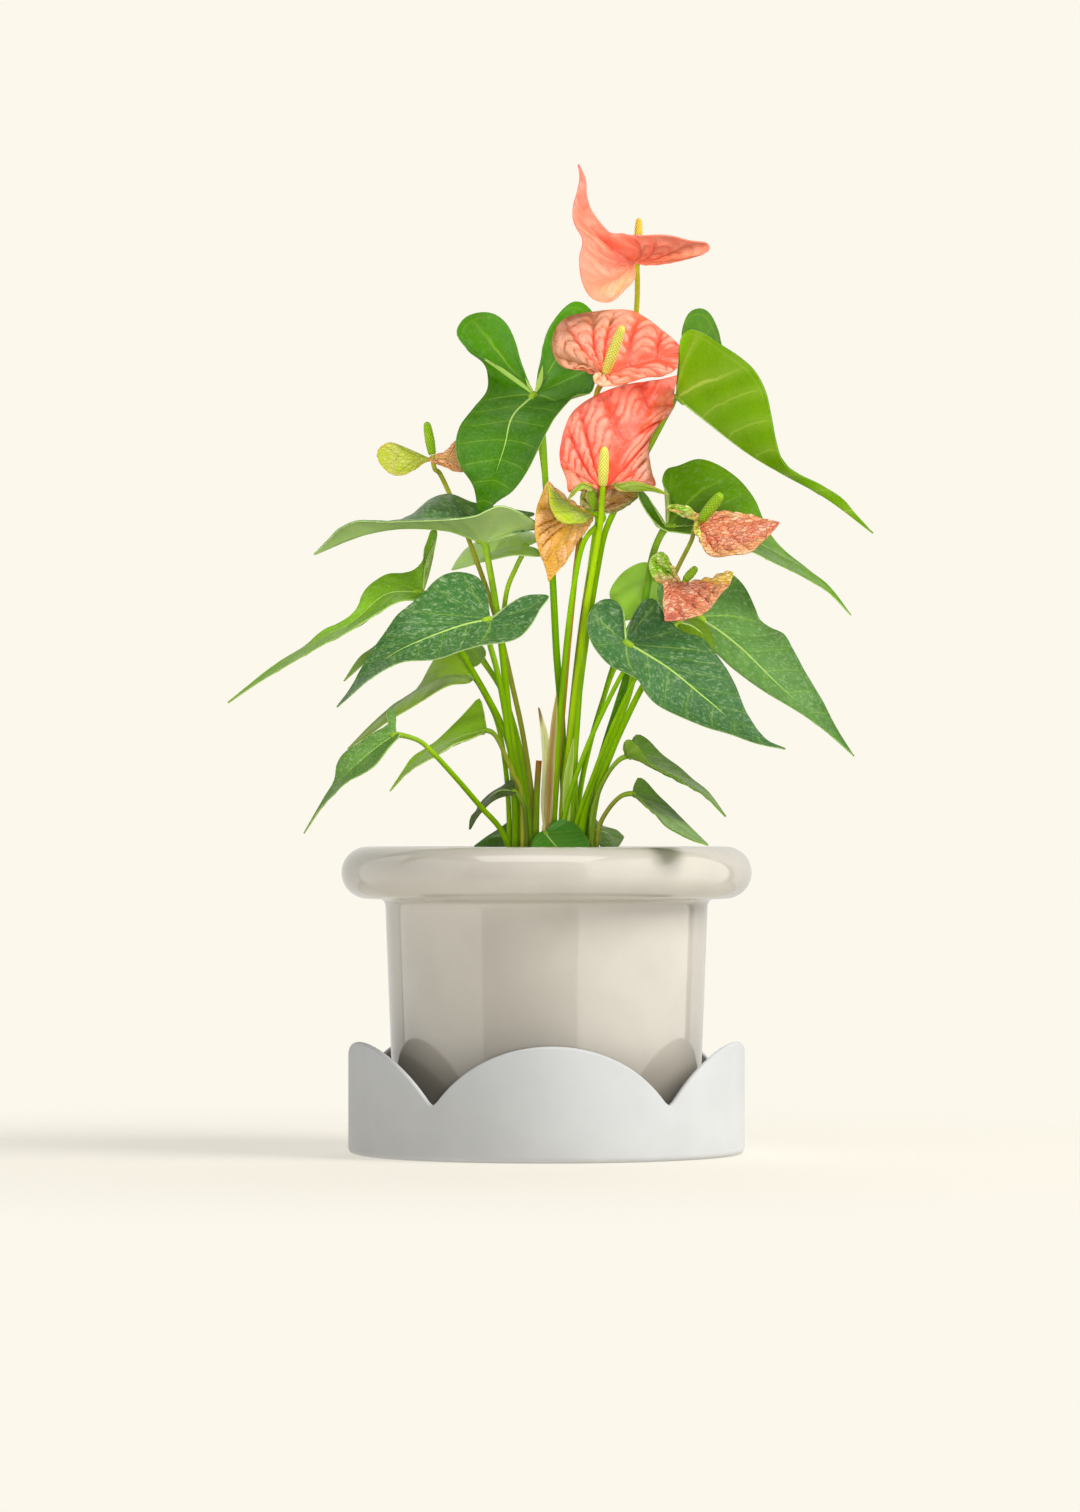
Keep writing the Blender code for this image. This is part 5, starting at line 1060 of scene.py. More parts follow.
def relief_of(form, place, phase, v, width, points, seed):
    """How far each point stands out of its sheet, in millimetres."""
    between = np.abs(np.sin(math.pi * phase)) ** form["crease"]
    inside = ramp(0.0, 0.18, v) * (1 - ramp(0.86, 1.0, v)) * ramp(0, 9 * MM, width * v)
    fade = 1 - ramp(0.75, 1.0, place[..., 0])
    relief = form["quilt"] * (between - 0.5) * inside * fade
    if form["cells"]:
        steps_out = v * width / (form["cells"] * MM) + 0.3 * np.sin(2 * math.pi * phase + seed)
        steps_out = steps_out + 0.5 * rough(points, 12, seed + 5)
        ladder = np.abs(np.sin(math.pi * steps_out)) ** 0.8 - 0.6
        relief = relief + form["quilt"] * 0.85 * between * inside * fade * ladder
    if form["wrinkle"]:
        fine = rough(points, 5.5, seed) + 0.5 * rough(points, 2.6, seed + 9)
        relief = relief + form["wrinkle"] * fine * inside
    columns = np.arange(points.shape[1]) / points.shape[1]
    wave = np.sin(2 * math.pi * (form["waves"] * columns + seed)) * np.sin(math.pi * columns) ** 0.5
    return relief + form["ruffle"] * wave * ramp(0.55, 1.0, v) * ramp(6 * MM, 22 * MM, width)


def half_sheet(blade, side, steps, form, up, seed):
    """Half a blade as rows from the midrib out, with its relief and its leaf coordinates."""
    lobe_steps, rib_steps, across = steps
    lobe_line, side_line = margin(blade, side)
    outer = np.vstack([even(lobe_line, lobe_steps)[:-1], even(side_line, rib_steps)])
    rib = midrib(blade, rib_steps)
    inner = np.vstack([np.repeat(rib[:1], lobe_steps, 0), rib])
    out = outer - inner
    normal = np.cross(unit(np.gradient(outer, axis=0)), out)
    for _ in range(6):
        padded = np.vstack([normal[:1], normal, normal[-1:]])
        normal = (padded[:-2] + padded[1:-1] + padded[2:]) / 3
    normal = unit(normal) * (-1 if side == "right" else 1)

    v = np.linspace(0, 1, across + 1)[:, None]
    place = leaf_places(lobe_steps, rib_steps, v)
    phase = vein_phase(form, place)
    width = np.linalg.norm(out, axis=1)
    arch = normal * width[:, None] * BLADE_BULGE
    points = inner + v[..., None] * out + arch * (4 * v * (1 - v))[..., None]
    relief = relief_of(form, place, phase, v, width[None, :], points, seed)
    points = points + normal * (relief * MM * up)[..., None]
    v = np.repeat(v, points.shape[1], 1)
    coords = np.stack([phase, v], -1)
    return dict(points=points, place=place, v=v, relief=relief, coords=coords, lobe_steps=lobe_steps)


def sheet_steps(blade, step):
    """How many steps of about this size a blade takes round a lobe, along a side and across."""
    lines = [margin(blade, side) for side in SIDES]
    rib = midrib(blade, 20)
    lobe = max(run_of(line)[-1] for line, _ in lines)
    side = max(run_of(line)[-1] for _, line in lines)
    wide = max(np.linalg.norm(even(line, 20) - rib, axis=1).max() for _, line in lines)
    limits = zip((lobe, side, wide), STEP_LIMITS)
    return [int(np.clip(round(size / (step * MM)), low, high)) for size, (low, high) in limits]


def upper_side(blade, toward):
    """1 where the sheet's own normal faces the way its upper face does, else -1."""
    rib = midrib(blade, 12)
    left, right = (even(margin(blade, side)[1], 12) for side in SIDES)
    along = np.gradient(rib, axis=0)
    normal = np.cross(along, left - rib) - np.cross(along, right - rib)
    return 1 if normal.sum(0) @ np.array(toward) > 0 else -1


def stem_line(stem, end):
    """A stem's centre line: upright in its hole, then through its points up to its end."""
    foot = lined_up(stem["stem"][:1])[0]
    low = (foot[0], foot[1], STEM_FOOT * MM)
    up = (foot[0], foot[1], STEM_UPRIGHT * MM)
    return np.vstack([low, up, lined_up(stem["stem"][1:]), end])


def grown_stem(shape, line, thick, colour, slot, end_thick=None, top_colour=None, knee=0.0):
    """A smooth stem along the line, a little paler at its foot, with a slight knee under its blade."""
    smooth = spline(line, per=6)
    run = run_of(smooth)
    part = run / run[-1]
    radii = thick[0] + (thick[1] - thick[0]) * part
    radii = radii * (1 + knee * np.exp(-(((run[-1] - run) - 5 * MM) / (4 * MM)) ** 2))
    if end_thick:
        radii[-1] = end_thick
    tint = np.repeat(np.array([colour]), len(run), 0)
    if top_colour:
        tint = blend(tint, np.array(top_colour), ramp(0.7, 1.0, part))
    tint = blend(tint, np.array(srgb(*STEM_FOOT_COLOUR)), 0.55 * (1 - ramp(0.02, 0.16, part)))
    shape.tube(smooth, radii * MM, carried(tint, 0), slot)


def rib_tube(shape, blade, thick, colour, slot):
    """The midrib, raised on both faces and running out toward the tip."""
    part = np.linspace(0, 1, RIB_STEPS + 1)
    radii = (thick * (1 - part) ** 0.8 + 0.12) * MM
    tint = np.repeat(np.array([colour]), len(part), 0)
    shape.tube(midrib(blade, RIB_STEPS), radii, carried(tint, 0), slot, sides=RIB_SIDES)


def leaf_tints(half, name, seed):
    top, under, bloom = LEAF_LOOKS[name]
    shade = 1 + 0.16 * rough(half["points"], 22, seed) - 0.10 * ramp(0.7, 1.0, half["v"])
    # Painted sheen: the lobes lighter than the middle
    shade = shade + LOBE_PAINTED_SHEEN.get(name, 0.1) * ramp(0.1, -0.5, half["place"][..., 0])
    mottle = 1 + 0.12 * rough(half["points"], 26, seed + 3)
    half["top"] = carried(np.array(srgb(*top)) * shade[..., None], bloom)
    half["under"] = carried(np.array(srgb(*under)) * mottle[..., None], bloom * 0.8)


def make_leaf(name, leaf, materials):
    """Blade, petiole and midrib as one piece."""
    shape = Shape()
    seed = sum(ord(letter) for letter in name) * 0.37
    up = upper_side(leaf, LEAF_FACING.get(name, LEAF_FACE))
    steps = sheet_steps(leaf, LEAF_STEP)
    halves = [half_sheet(leaf, side, steps, LEAF_FORM, up, seed) for side in SIDES]
    for half in halves:
        leaf_tints(half, name, seed)
    shape.blade(halves, up, BLADE_THICK * MM, (0, 1, 0))
    petiole = srgb(*PETIOLE_COLOURS.get(name, PETIOLE))
    line = np.vstack([stem_line(leaf, lined_up(leaf["rib"])[:1]), midrib(leaf, RIB_STEPS)[2:3]])
    grown_stem(shape, line, leaf["thick"], petiole, 2, 0.7, srgb(*PETIOLE_TOP), 0.18)
    rib_tube(shape, leaf, min(leaf["thick"][1] * 0.5, 0.7), srgb(*RIB_COLOUR), 2)
    obj = shape.build(name + "_grown", [materials["leaf"], materials["under"], materials["stem"]])
    dress(obj, name)


def spathe_tints(half, name, side, seed, flap):
    """Margin, lobes and tip in their own colours, painted shade in the grooves, a painted highlight on each
    cushion top, and age's pale creases.
    """
    middle, edge, left_lobe, right_lobe, tip, back, flaps = [np.array(srgb(*c)) for c in SPATHE_LOOKS[name]]
    age = SPATHE_AGE[name]
    v, points = half["v"], half["points"]
    along = half["place"][..., 0]
    drift = 0.18 * rough(points, 14, seed)
    tint = blend(np.broadcast_to(middle, points.shape), edge, ramp(0.5, 1.0, v + drift))
    lobed = ramp(0.1, -0.45, along + drift)
    if BROWN_SIDES.get(name) == side and not flap:
        lobed = np.maximum(lobed, 0.85 * ramp(0.45, 0.95, v + drift) * ramp(0.7, 0.3, along))
    tint = blend(tint, left_lobe if side == "left" else right_lobe, lobed)
    tint = blend(tint, tip, ramp(0.55, 1.0, along + drift))
    if flap:
        tint = blend(np.broadcast_to(flaps, points.shape), edge, 0.25 * ramp(0.75, 1.0, v + drift))
    lumps = np.clip(half["relief"] / 0.8, -1, 1)
    # Painted shade in the grooves
    tint = tint * (1 - ramp(0.0, -0.9, lumps)[..., None] * np.array(GROOVE_SHADE))
    # Painted highlight on the raised cells
    cushion_highlight = 0.4 * ramp(0.25, 1.0, lumps) * ramp(0.05, 0.25, v) * (1 - age)
    tint = blend(tint, np.array(srgb(*CUSHION_HIGHLIGHT_COLOUR)), cushion_highlight)
    crease = 1 - ramp(0.02, 0.16, np.abs(rough(points, 5.0, seed + 4)))
    tint = blend(tint, np.array(srgb(*CREASE_COLOUR)), age**2 * 0.45 * crease * ramp(0.02, 0.2, v))
    behind = blend(blend(tint, back, 0.4), edge, 0.5 * ramp(0.7, 1.0, v))
    if flap:
        behind = np.broadcast_to(flaps, points.shape)
    half["top"] = carried(tint, age)
    half["under"] = carried(behind, age)


def make_peduncle(name, flower, up, top, materials):
    neck = top - up * 5 * MM
    line = np.vstack([stem_line(flower, neck[None]), top + up * SPADIX_ABOVE * MM])
    shape = Shape()
    grown_stem(shape, line, flower["thick"], srgb(*PEDUNCLE_COLOURS[name]), 0)
    dress(shape.build("peduncle_" + name + "_grown", [materials["stem"]]), "peduncle_" + name)


def make_spathe(name, flower, materials):
    """The spathe's sheet, and the flaps that some fold out beside it."""
    shape = Shape()
    seed = sum(ord(letter) for letter in name) * 0.21
    age = SPATHE_AGE[name]
    whole = dict(SPATHE_FORM, wrinkle=0.7 * age, ruffle=0.6 + 0.8 * age)
    whole["quilt"] = SMOOTH_QUILT.get(name, whole["quilt"])
    for number, blade in enumerate([flower, *flower["flaps"]]):
        form = dict(whole, **FLAP_FORM) if number else whole
        up = upper_side(blade, SPATHE_FACING[name])
        steps = sheet_steps(blade, SPATHE_STEP)
        halves = [half_sheet(blade, side, steps, form, up, seed) for side in SIDES]
        for half, side in zip(halves, SIDES):
            spathe_tints(half, name, side, seed, number > 0)
        shape.blade(halves, up, BLADE_THICK * MM, (0, 1, 0))
    obj = shape.build("spathe_" + name + "_grown", [materials["spathe"], materials["spathe_back"]])
    dress(obj, "spathe_" + name)


def make_spadix(name, flower, start, tip, materials):
    """A blunt spike, beaded with florets in crossing spirals, with painted shade in the pits between them.
    """
    part = np.linspace(0, 1, SPADIX_ROWS)[:, None]
    turn = np.arange(SPADIX_SIDES)[None, :] / SPADIX_SIDES
    rising = part * (np.linalg.norm(tip - start) / (FLORET_PITCH * MM)) / 2
    turning = turn * FLORETS_AROUND / 2
    floret = np.cos(2 * math.pi * (rising + turning)) * np.cos(2 * math.pi * (rising - turning))
    bead = np.abs(floret) ** 0.7
    radii = np.interp(part, SPADIX_PLACES, SPADIX_RADII) * flower["spadix_thick"]
    radii = radii - FLORET_DEPTH * (1 - bead) * ramp(0.02, 0.1, part)
    colour = np.array(srgb(*SPADIX_COLOURS[name]))
    skin = colour * (1 - 0.15 * ramp(0.5, 0.0, part))[..., None] * np.ones(bead.shape + (1,))
    # Painted shade in the pits between the florets
    tint = blend(skin, colour * (0.25, 0.34, 0.12), 0.85 * (1 - ramp(0.1, 0.7, bead)))
    shape = Shape()
    shape.tube(start + (tip - start) * part, radii * MM, carried(tint, 0), 0, sides=SPADIX_SIDES)
    obj = shape.build("spadix_" + name + "_grown", [materials["spadix"]])
    dress(obj, "spadix_" + name)


def make_flower(name, flower, materials):
    top = lined_up([flower["top"]])[0]
    tip = lined_up([flower["spadix"]])[0]
    up = unit(tip - top)
    make_peduncle(name, flower, up, top, materials)
    make_spathe(name, flower, materials)
    make_spadix(name, flower, top + up * (SPADIX_ABOVE + FIT) * MM, tip, materials)


def make_sheath(name, sheath, materials):
    """A papery sheath round the foot of a stem, brown at its tip."""
    shape = Shape()
    seed = len(name) * 0.9
    colour, edge, slot = SHEATH_LOOKS[name]
    up = upper_side(sheath, SHEATH_FACE)
    steps = sheet_steps(sheath, SHEATH_STEP)
    halves = [half_sheet(sheath, side, steps, SHEATH_FORM, up, seed) for side in SIDES]
    for half in halves:
        drift = 0.2 * rough(half["points"] * (1, 1, 0.2), 3, seed)
        tint = np.broadcast_to(srgb(*colour), half["points"].shape)
        tint = blend(tint, np.array(srgb(*edge)), ramp(0.3, 1.0, half["v"] + drift))
        tint = blend(tint, np.array(srgb(*SHEATH_TIP)), ramp(0.82, 1.0, half["place"][..., 0] + drift))
        half["top"] = half["under"] = carried(tint, 0)
    shape.blade(halves, up, BLADE_THICK * MM, (0, 0, 0))
    rib = lined_up(sheath["rib"])
    line = np.vstack([stem_line(sheath, rib[:1]), rib[0] + unit(rib[1] - rib[0]) * 4 * MM])
    grown_stem(shape, line, sheath["thick"], srgb(*colour), 1, 0.75)
    rib_tube(shape, sheath, 0.8, srgb(*colour), 1)
    dress(shape.build(name + "_grown", [materials["sheath"], materials["stem"]]), name)


def make_stub(materials):
    """The cut foot of an old stem, brown where it was cut."""
    line = stem_line(dict(stem=STUB["stem"][:-1]), lined_up(STUB["stem"][-1:]))
    shape = Shape()
    grown_stem(shape, line, STUB["thick"], srgb(*STUB_COLOUR), 0, top_colour=srgb(*STUB_TOP))
    dress(shape.build("stem_stub_grown", [materials["stem"]]), "stem_stub")


def turned(name, profile, material):
    """A solid of revolution from (radius, height) points in millimetres; a height may vary round it."""
    shape = Shape()
    angles = np.arange(TURN_STEPS) / TURN_STEPS * 2 * math.pi
    points, faces, last = [], [], None
    for radius, height in profile:
        heights = height(angles) if callable(height) else np.full(TURN_STEPS, float(height))
        ring = []
        if radius == 0:
            ring = [len(points)] * TURN_STEPS
            points.append((0, 0, heights[0] * MM))
        else:
            for angle, high in zip(angles, heights):
                ring.append(len(points))
                points.append((radius * math.sin(angle) * MM, -radius * math.cos(angle) * MM, high * MM))
        if last:
            for i in range(TURN_STEPS):
                k = (i + 1) % TURN_STEPS
                face = []
                for corner in (last[i], last[k], ring[k], ring[i]):
                    if corner not in face:
                        face.append(corner)
                faces.append(tuple(face[::-1]))
        last = ring
    shape.add(points, [NO_TINT] * len(points), faces, 0)
    return shape.build(name, [material])


def make_pot(materials):
    """Inside from the floor up, over the rolled rim, then down the outside to the foot."""
    profile = [(0, POT_FLOOR), (POT_INNER_FOOT - 3.5, POT_FLOOR), (POT_INNER_FOOT - 0.8, POT_FLOOR + 1.2)]
    profile += [(POT_INNER_FOOT, POT_FLOOR + 3.7), (POT_INNER_TOP, POT_SHOULDER)]
    profile += [(POT_INNER_TOP + 0.7, POT_SHOULDER + 6)]
    for k in range(RIM_POINTS):
        angle = math.radians(RIM_FROM - RIM_TURN * k)
        profile.append((RIM_RADIUS + RIM_THICK * math.cos(angle), RIM_HEIGHT + RIM_THICK * math.sin(angle)))
    top = RIM_HEIGHT - RIM_THICK
    profile += [(POT_BODY_RADIUS + 3.0, top - 0.2), (POT_BODY_RADIUS + 1.6, top - 0.7)]
    profile += [(POT_BODY_RADIUS + 0.7, top - 1.6), (POT_BODY_RADIUS + 0.15, top - 3.0)]
    body_top, body_foot = top - 4.5, POT_FOOT + 2.4
    for k in range(POT_BODY_STEPS + 1):
        part = k / POT_BODY_STEPS
        radius = POT_BODY_RADIUS + (POT_FOOT_RADIUS - POT_BODY_RADIUS) * part
        profile.append((radius, body_top + (body_foot - body_top) * part))
    profile += [(POT_FOOT_RADIUS - 0.4, POT_FOOT + 1.0), (POT_FOOT_RADIUS - 1.5, POT_FOOT), (0, POT_FOOT)]
    dress(turned("pot_glazed", profile, materials["glaze"]), "pot")


def scallop_height(angle):
    """Height of the saucer's lip at angles from the front: arcs that meet in small rounded valleys."""
    pitch = 2 * math.pi / SCALLOPS
    made = []
    for shift in (0, -pitch, pitch):
        turn = (np.asarray(angle) - math.radians(SCALLOP_TURN) + pitch / 2) % pitch - pitch / 2 + shift
        along = np.clip(SAUCER_RADIUS * turn, -SCALLOP_ARC + 0.5, SCALLOP_ARC - 0.5)
        made.append(SCALLOP_PEAK - (SCALLOP_ARC - np.sqrt(SCALLOP_ARC**2 - along**2)))
    made = np.array(made)
    return VALLEY_ROUND * np.log(np.exp((made - made.max(0)) / VALLEY_ROUND).sum(0)) + made.max(0)


def make_saucer(materials):
    """Inside from the floor up, over the rounded scalloped lip, then down the outside to the table."""
    outer, inner = SAUCER_RADIUS, SAUCER_RADIUS - SAUCER_WALL
    half = SAUCER_WALL / 2

    def wall_height(low, part):
        return lambda angles: low + (scallop_height(angles) - low - 2.0) * part

    def below_lip(drop):
        return lambda angles: scallop_height(angles) - drop

    profile = [(0, SAUCER_FLOOR), (inner - 3.5, SAUCER_FLOOR), (inner - 1.6, SAUCER_FLOOR + 0.5)]
    profile += [(inner - 0.5, SAUCER_FLOOR + 1.6), (inner, SAUCER_FLOOR + 3.5)]
    profile += [(inner, wall_height(SAUCER_FLOOR + 3.5, part)) for part in (0.25, 0.5, 0.75)]
    for degrees in range(0, 181, 15):
        turn = math.radians(degrees)
        profile.append((inner + half - half * math.cos(turn), below_lip(half - half * math.sin(turn))))
    profile += [(outer, wall_height(3.0, part)) for part in (0.75, 0.5, 0.25)]
    profile += [(outer, 3.0), (outer - 0.3, 1.6), (outer - 1.1, 0.6), (outer - 3.0, 0), (0, 0)]
    dress(turned("saucer_fine", profile, materials["clay"]), "saucer")


def rings_of(rows, around):
    """Points on rings of these (radius, height) in millimetres, and the faces from ring to ring."""
    points, faces = [], []
    for radius, height in rows:
        for j in range(around):
            angle = 2 * math.pi * j / around
            points.append((radius * math.cos(angle) * MM, radius * math.sin(angle) * MM, height * MM))
    for i in range(len(rows) - 1):
        for j in range(around):
            k = (j + 1) % around
            corners = (i * around + j, (i + 1) * around + j, (i + 1) * around + k, i * around + k)
            faces.append(corners if rows[i][0] else corners[:3])
    return np.array(points), faces


def add_crumb(shape, draw, reach):
    """A bit of bark or grit at a random place on the soil, up to this far from the axis."""
    radius, angle = reach * math.sqrt(draw.random()), draw.uniform(0, 2 * math.pi)
    size = draw.uniform(0.8, 2.3)
    stretch = draw.uniform(1.0, 2.6)
    heading = draw.uniform(0, math.pi)
    high = min(SOIL_LEVEL + draw.uniform(-0.2, 1.2), SOIL_TOP - size * 0.6)
    middle = np.array([radius * math.cos(angle), radius * math.sin(angle), high])
    points = []
    for above, wide_at in CRUMB_RINGS:
        for j in range(CRUMB_SIDES):
            turn = 2 * math.pi * j / CRUMB_SIDES + draw.uniform(-0.3, 0.3)
            out = size * wide_at * draw.uniform(0.8, 1.15)
            x, y = out * stretch * math.cos(turn), out * math.sin(turn)
            points.append(middle + (x * math.cos(heading) - y * math.sin(heading),
                                    x * math.sin(heading) + y * math.cos(heading), above * size))
    last = (len(CRUMB_RINGS) - 1) * CRUMB_SIDES
    faces = [tuple(range(CRUMB_SIDES))[::-1], tuple(range(last, last + CRUMB_SIDES))]
    for low in range(0, last, CRUMB_SIDES):
        for j in range(CRUMB_SIDES):
            k = (j + 1) % CRUMB_SIDES
            faces.append((low + j, low + k, low + CRUMB_SIDES + k, low + CRUMB_SIDES + j))
    kinds = len(CRUMB_COLOURS)
    colour = CRUMB_COLOURS[min(int(draw.random() ** 1.3 * kinds), kinds - 1)]
    shape.add(np.array(points) * MM, [(*srgb(*colour), 0)] * len(points), faces, 0)


def make_soil(materials):
    """Loose potting mix: an uneven top with bark and grit on it, over a plain plug."""
    shape = Shape()
    wide = POT_INNER_TOP - FIT
    dark, warm = np.array(srgb(*SOIL_DARK)), np.array(srgb(*SOIL_WARM))
    rows = [(wide * i / SOIL_RINGS, SOIL_LEVEL) for i in range(SOIL_RINGS + 1)]
    points, faces = rings_of(rows, SOIL_AROUND)
    lumps = rough(points, 9, 2.0) * 1.4 + rough(points, 3.2, 5.0) * 0.9
    points[:, 2] += lumps * MM * (1 - ramp((wide - 2) * MM, wide * MM, np.hypot(points[:, 0], points[:, 1])))
    tints = blend(np.broadcast_to(dark, points.shape), warm, 0.5 + 0.5 * rough(points, 2.4, 8.0))
    shape.add(points, carried(tints, 0), faces, 0)
    wall = [(wide, SOIL_LEVEL), (wide, POT_SHOULDER), (POT_INNER_FOOT - FIT, POT_FLOOR + 3.9)]
    wall += [(POT_INNER_FOOT - 3.7, POT_FLOOR + FIT), (0, POT_FLOOR + FIT)]
    points, faces = rings_of(wall, SOIL_AROUND)
    shape.add(points, [(*dark, 0)] * len(points), faces, 0)
    draw = random.Random(CRUMB_SEED)
    for _ in range(CRUMBS):
        add_crumb(shape, draw, wide - 4)
    dress(shape.build("soil_loose", [materials["soil"]]), "soil")


class Nodes:
    """A node tree that is put together a node at a time."""

    def __init__(self, owner):
        owner.use_nodes = True
        self.tree = owner.node_tree

    def put(self, target, value):
        if isinstance(value, bpy.types.NodeSocket):
            self.tree.links.new(value, target)
        else:
            target.default_value = value

    def add(self, kind, inputs=(), output=0, **settings):
        node = self.tree.nodes.new(kind)
        for key, value in settings.items():
            setattr(node, key, value)
        for key, value in dict(inputs).items():
            self.put(node.inputs[key], value)
        return node.outputs[output]

    def show(self, kind, shader):
        """The tree ends in an output node of this kind, with this shader on it."""
        self.put(self.tree.nodes.new(kind).inputs[0], shader)


class Skin(Nodes):
    """A Principled material."""

    def __init__(self, name, roughness, **sockets):
        self.material = bpy.data.materials.new(name)
        super().__init__(self.material)
        self.shader = self.tree.nodes["Principled BSDF"]
        self.shader.inputs["Roughness"].default_value = roughness
        for socket, value in sockets.items():
            self.shader.inputs[socket.replace("_", " ")].default_value = value
        self.where = self.add("ShaderNodeTexCoord", output="Object")

    def maths(self, operation, a, b=0.0):
        return self.add("ShaderNodeMath", {0: a, 1: b}, operation=operation)

    def times(self, a, b):
        return self.maths("MULTIPLY", a, b)

    def apart(self, a, b):
        """How far the two values are from each other."""
        return self.maths("ABSOLUTE", self.maths("SUBTRACT", a, b))

    def clamp(self, value, low, high, to_low=0.0, to_high=1.0):
        ends = {"Value": value, "From Min": low, "From Max": high, "To Min": to_low, "To Max": to_high}
        return self.add("ShaderNodeMapRange", ends, interpolation_type="SMOOTHSTEP")

    def mix(self, factor, a, b, blend_type="MIX"):
        return self.add("ShaderNodeMix", {0: factor, 6: a, 7: b}, output=2, data_type="RGBA",
                        blend_type=blend_type)

    def shaded(self, colour, by):
        return self.mix(1.0, colour, (*by, 1), "MULTIPLY")

    def noise(self, vector, scale, detail=3.0, roughness=0.55):
        return self.add("ShaderNodeTexNoise", {"Vector": vector, "Scale": scale, "Detail": detail,
                                               "Roughness": roughness})

    def edges(self, vector, scale, low, high):
        """1 along the edges of small cells, and 0 inside them."""
        inputs = {"Vector": vector, "Scale": scale}
        cells = self.add("ShaderNodeTexVoronoi", inputs, feature="DISTANCE_TO_EDGE")
        return self.clamp(cells, low, high, 1.0, 0.0)

    def scaled(self, x, y, z):
        return self.add("ShaderNodeMapping", {"Vector": self.where, "Scale": (x, y, z)})

    def split(self, vector):
        node = self.tree.nodes.new("ShaderNodeSeparateXYZ")
        self.put(node.inputs[0], vector)
        return node.outputs

    def tint(self):
        """The mesh's own tint, and the amount that it carries."""
        node = self.tree.nodes.new("ShaderNodeAttribute")
        node.attribute_name = "tint"
        return node.outputs["Color"], node.outputs["Alpha"]

    def veins(self, scale, wander):
        """The vein number, how far across, the number made unsteady, and how far a side vein is."""
        number, across, _ = self.split(self.add("ShaderNodeUVMap", uv_map="veins"))
        unsteady = self.times(self.maths("SUBTRACT", self.noise(self.where, scale), 0.5), wander)
        moved = self.maths("ADD", number, unsteady)
        near = self.apart(self.maths("FRACT", self.maths("ADD", moved, 0.5)), 0.5)
        return number, across, moved, near

    def done(self, colour, height, distance, strength):
        """The material with this colour, and with this height as its bumps."""
        self.put(self.shader.inputs["Base Color"], colour)
        bumps = self.add("ShaderNodeBump", {"Height": height, "Distance": distance, "Strength": strength})
        self.put(self.shader.inputs["Normal"], bumps)
        return self.material


def blade_skin(name, roughness, vein, vein_amount, width, net, stripes, **sockets):
    """A blade's skin: its tint, thin veins along the leaf coordinates, a fine net and pale bloom."""
    made = Skin(name, roughness, **sockets)
    tint, bloomed = made.tint()
    number, v, moved, near = made.veins(60.0, 0.22)
    vein = solid(vein)
    line = made.times(made.clamp(near, width * 0.3, width, 1.0, 0.0), made.clamp(v, 0.75, 1.0, 1.0, 0.15))
    hem = made.clamp(made.apart(v, 0.94), 0.004, 0.014, 0.5, 0.0)
    line = made.maths("MAXIMUM", line, hem)
    for chief in CHIEF_VEINS:
        bold = made.clamp(made.apart(moved, chief), width * 0.7, width * 1.6, 1.8, 0.0)
        line = made.maths("MAXIMUM", line, made.times(bold, made.clamp(v, 0.5, 0.95, 1.0, 0.0)))
    cloud = made.noise(made.where, 70.0, 4.0)
    colour = made.mix(made.clamp(cloud, 0.35, 0.7, 0.0, 0.35), tint, made.shaded(tint, (0.62, 0.74, 0.6)))
    colour = made.mix(made.clamp(near, 0.05, 0.45, stripes, 0.0), colour, vein)
    colour = made.mix(made.times(line, vein_amount), colour, vein)
    colour = made.mix(made.times(made.edges(made.where, 330.0, 0.02, 0.12), net), colour, vein)
    drawn_out = {0: made.times(number, 5.0), 1: made.times(v, 7.0), 2: made.times(cloud, 2.0)}
    streaks = made.noise(made.add("ShaderNodeCombineXYZ", drawn_out), 1.6, 6.0, 0.75)
    specks = made.noise(made.where, 420.0, 2.0)
    bloom = made.times(made.clamp(streaks, 0.46, 0.66), made.clamp(specks, 0.35, 0.6))
    bloom = made.times(bloom, made.times(bloomed, 0.7))
    colour = made.mix(bloom, colour, solid(BLOOM_COLOUR))
    return made.done(colour, cloud, 0.6 * MM, 0.5)


def spathe_skin(name, roughness, **sockets):
    """Waxy spathe: its tint, darker sunken veins and a fine blush; wrinkles where it has aged."""
    made = Skin(name, roughness, **sockets)
    tint, age = made.tint()
    _, v, _, near = made.veins(80.0, 0.3)
    line = made.times(made.clamp(near, 0.02, 0.09, 1.0, 0.0), made.clamp(v, 0.7, 1.0, 1.0, 0.2))
    paler = made.mix(0.45, tint, (0.95, 0.62, 0.50, 1))
    cloud = made.noise(made.where, 110.0, 5.0, 0.65)
    colour = made.mix(made.clamp(cloud, 0.45, 0.75, 0.0, 0.55), tint, paler)
    colour = made.mix(made.times(line, 0.28), colour, made.shaded(tint, (0.80, 0.58, 0.56)))
    crease = made.times(made.edges(made.scaled(1, 1, 2.2), 260.0, 0.02, 0.16), age)
    colour = made.mix(made.times(crease, 0.35), colour, solid(WRINKLE_COLOUR))
    height = made.maths("ADD", made.times(line, -0.5), made.times(cloud, 0.6))
    height = made.maths("ADD", height, made.times(crease, -0.9))
    return made.done(colour, height, 0.8 * MM, 0.7)


def stem_skin(name, roughness, streak, **sockets):
    """A stem or sheath: its tint, with fine streaks along it and a yellower flush."""
    made = Skin(name, roughness, **sockets)
    tint, _ = made.tint()
    fine = made.noise(made.scaled(900, 900, 26), 1.0, 3.0)
    broad = made.noise(made.scaled(90, 90, 30), 1.0, 2.0)
    colour = made.mix(made.clamp(fine, 0.4, 0.7, 0.0, streak), tint, made.shaded(tint, (0.55, 0.66, 0.5)))
    colour = made.mix(made.clamp(broad, 0.5, 0.75, 0.0, 0.3), colour, solid(FLUSH_COLOUR))
    return made.done(colour, fine, 0.3 * MM, 0.5)


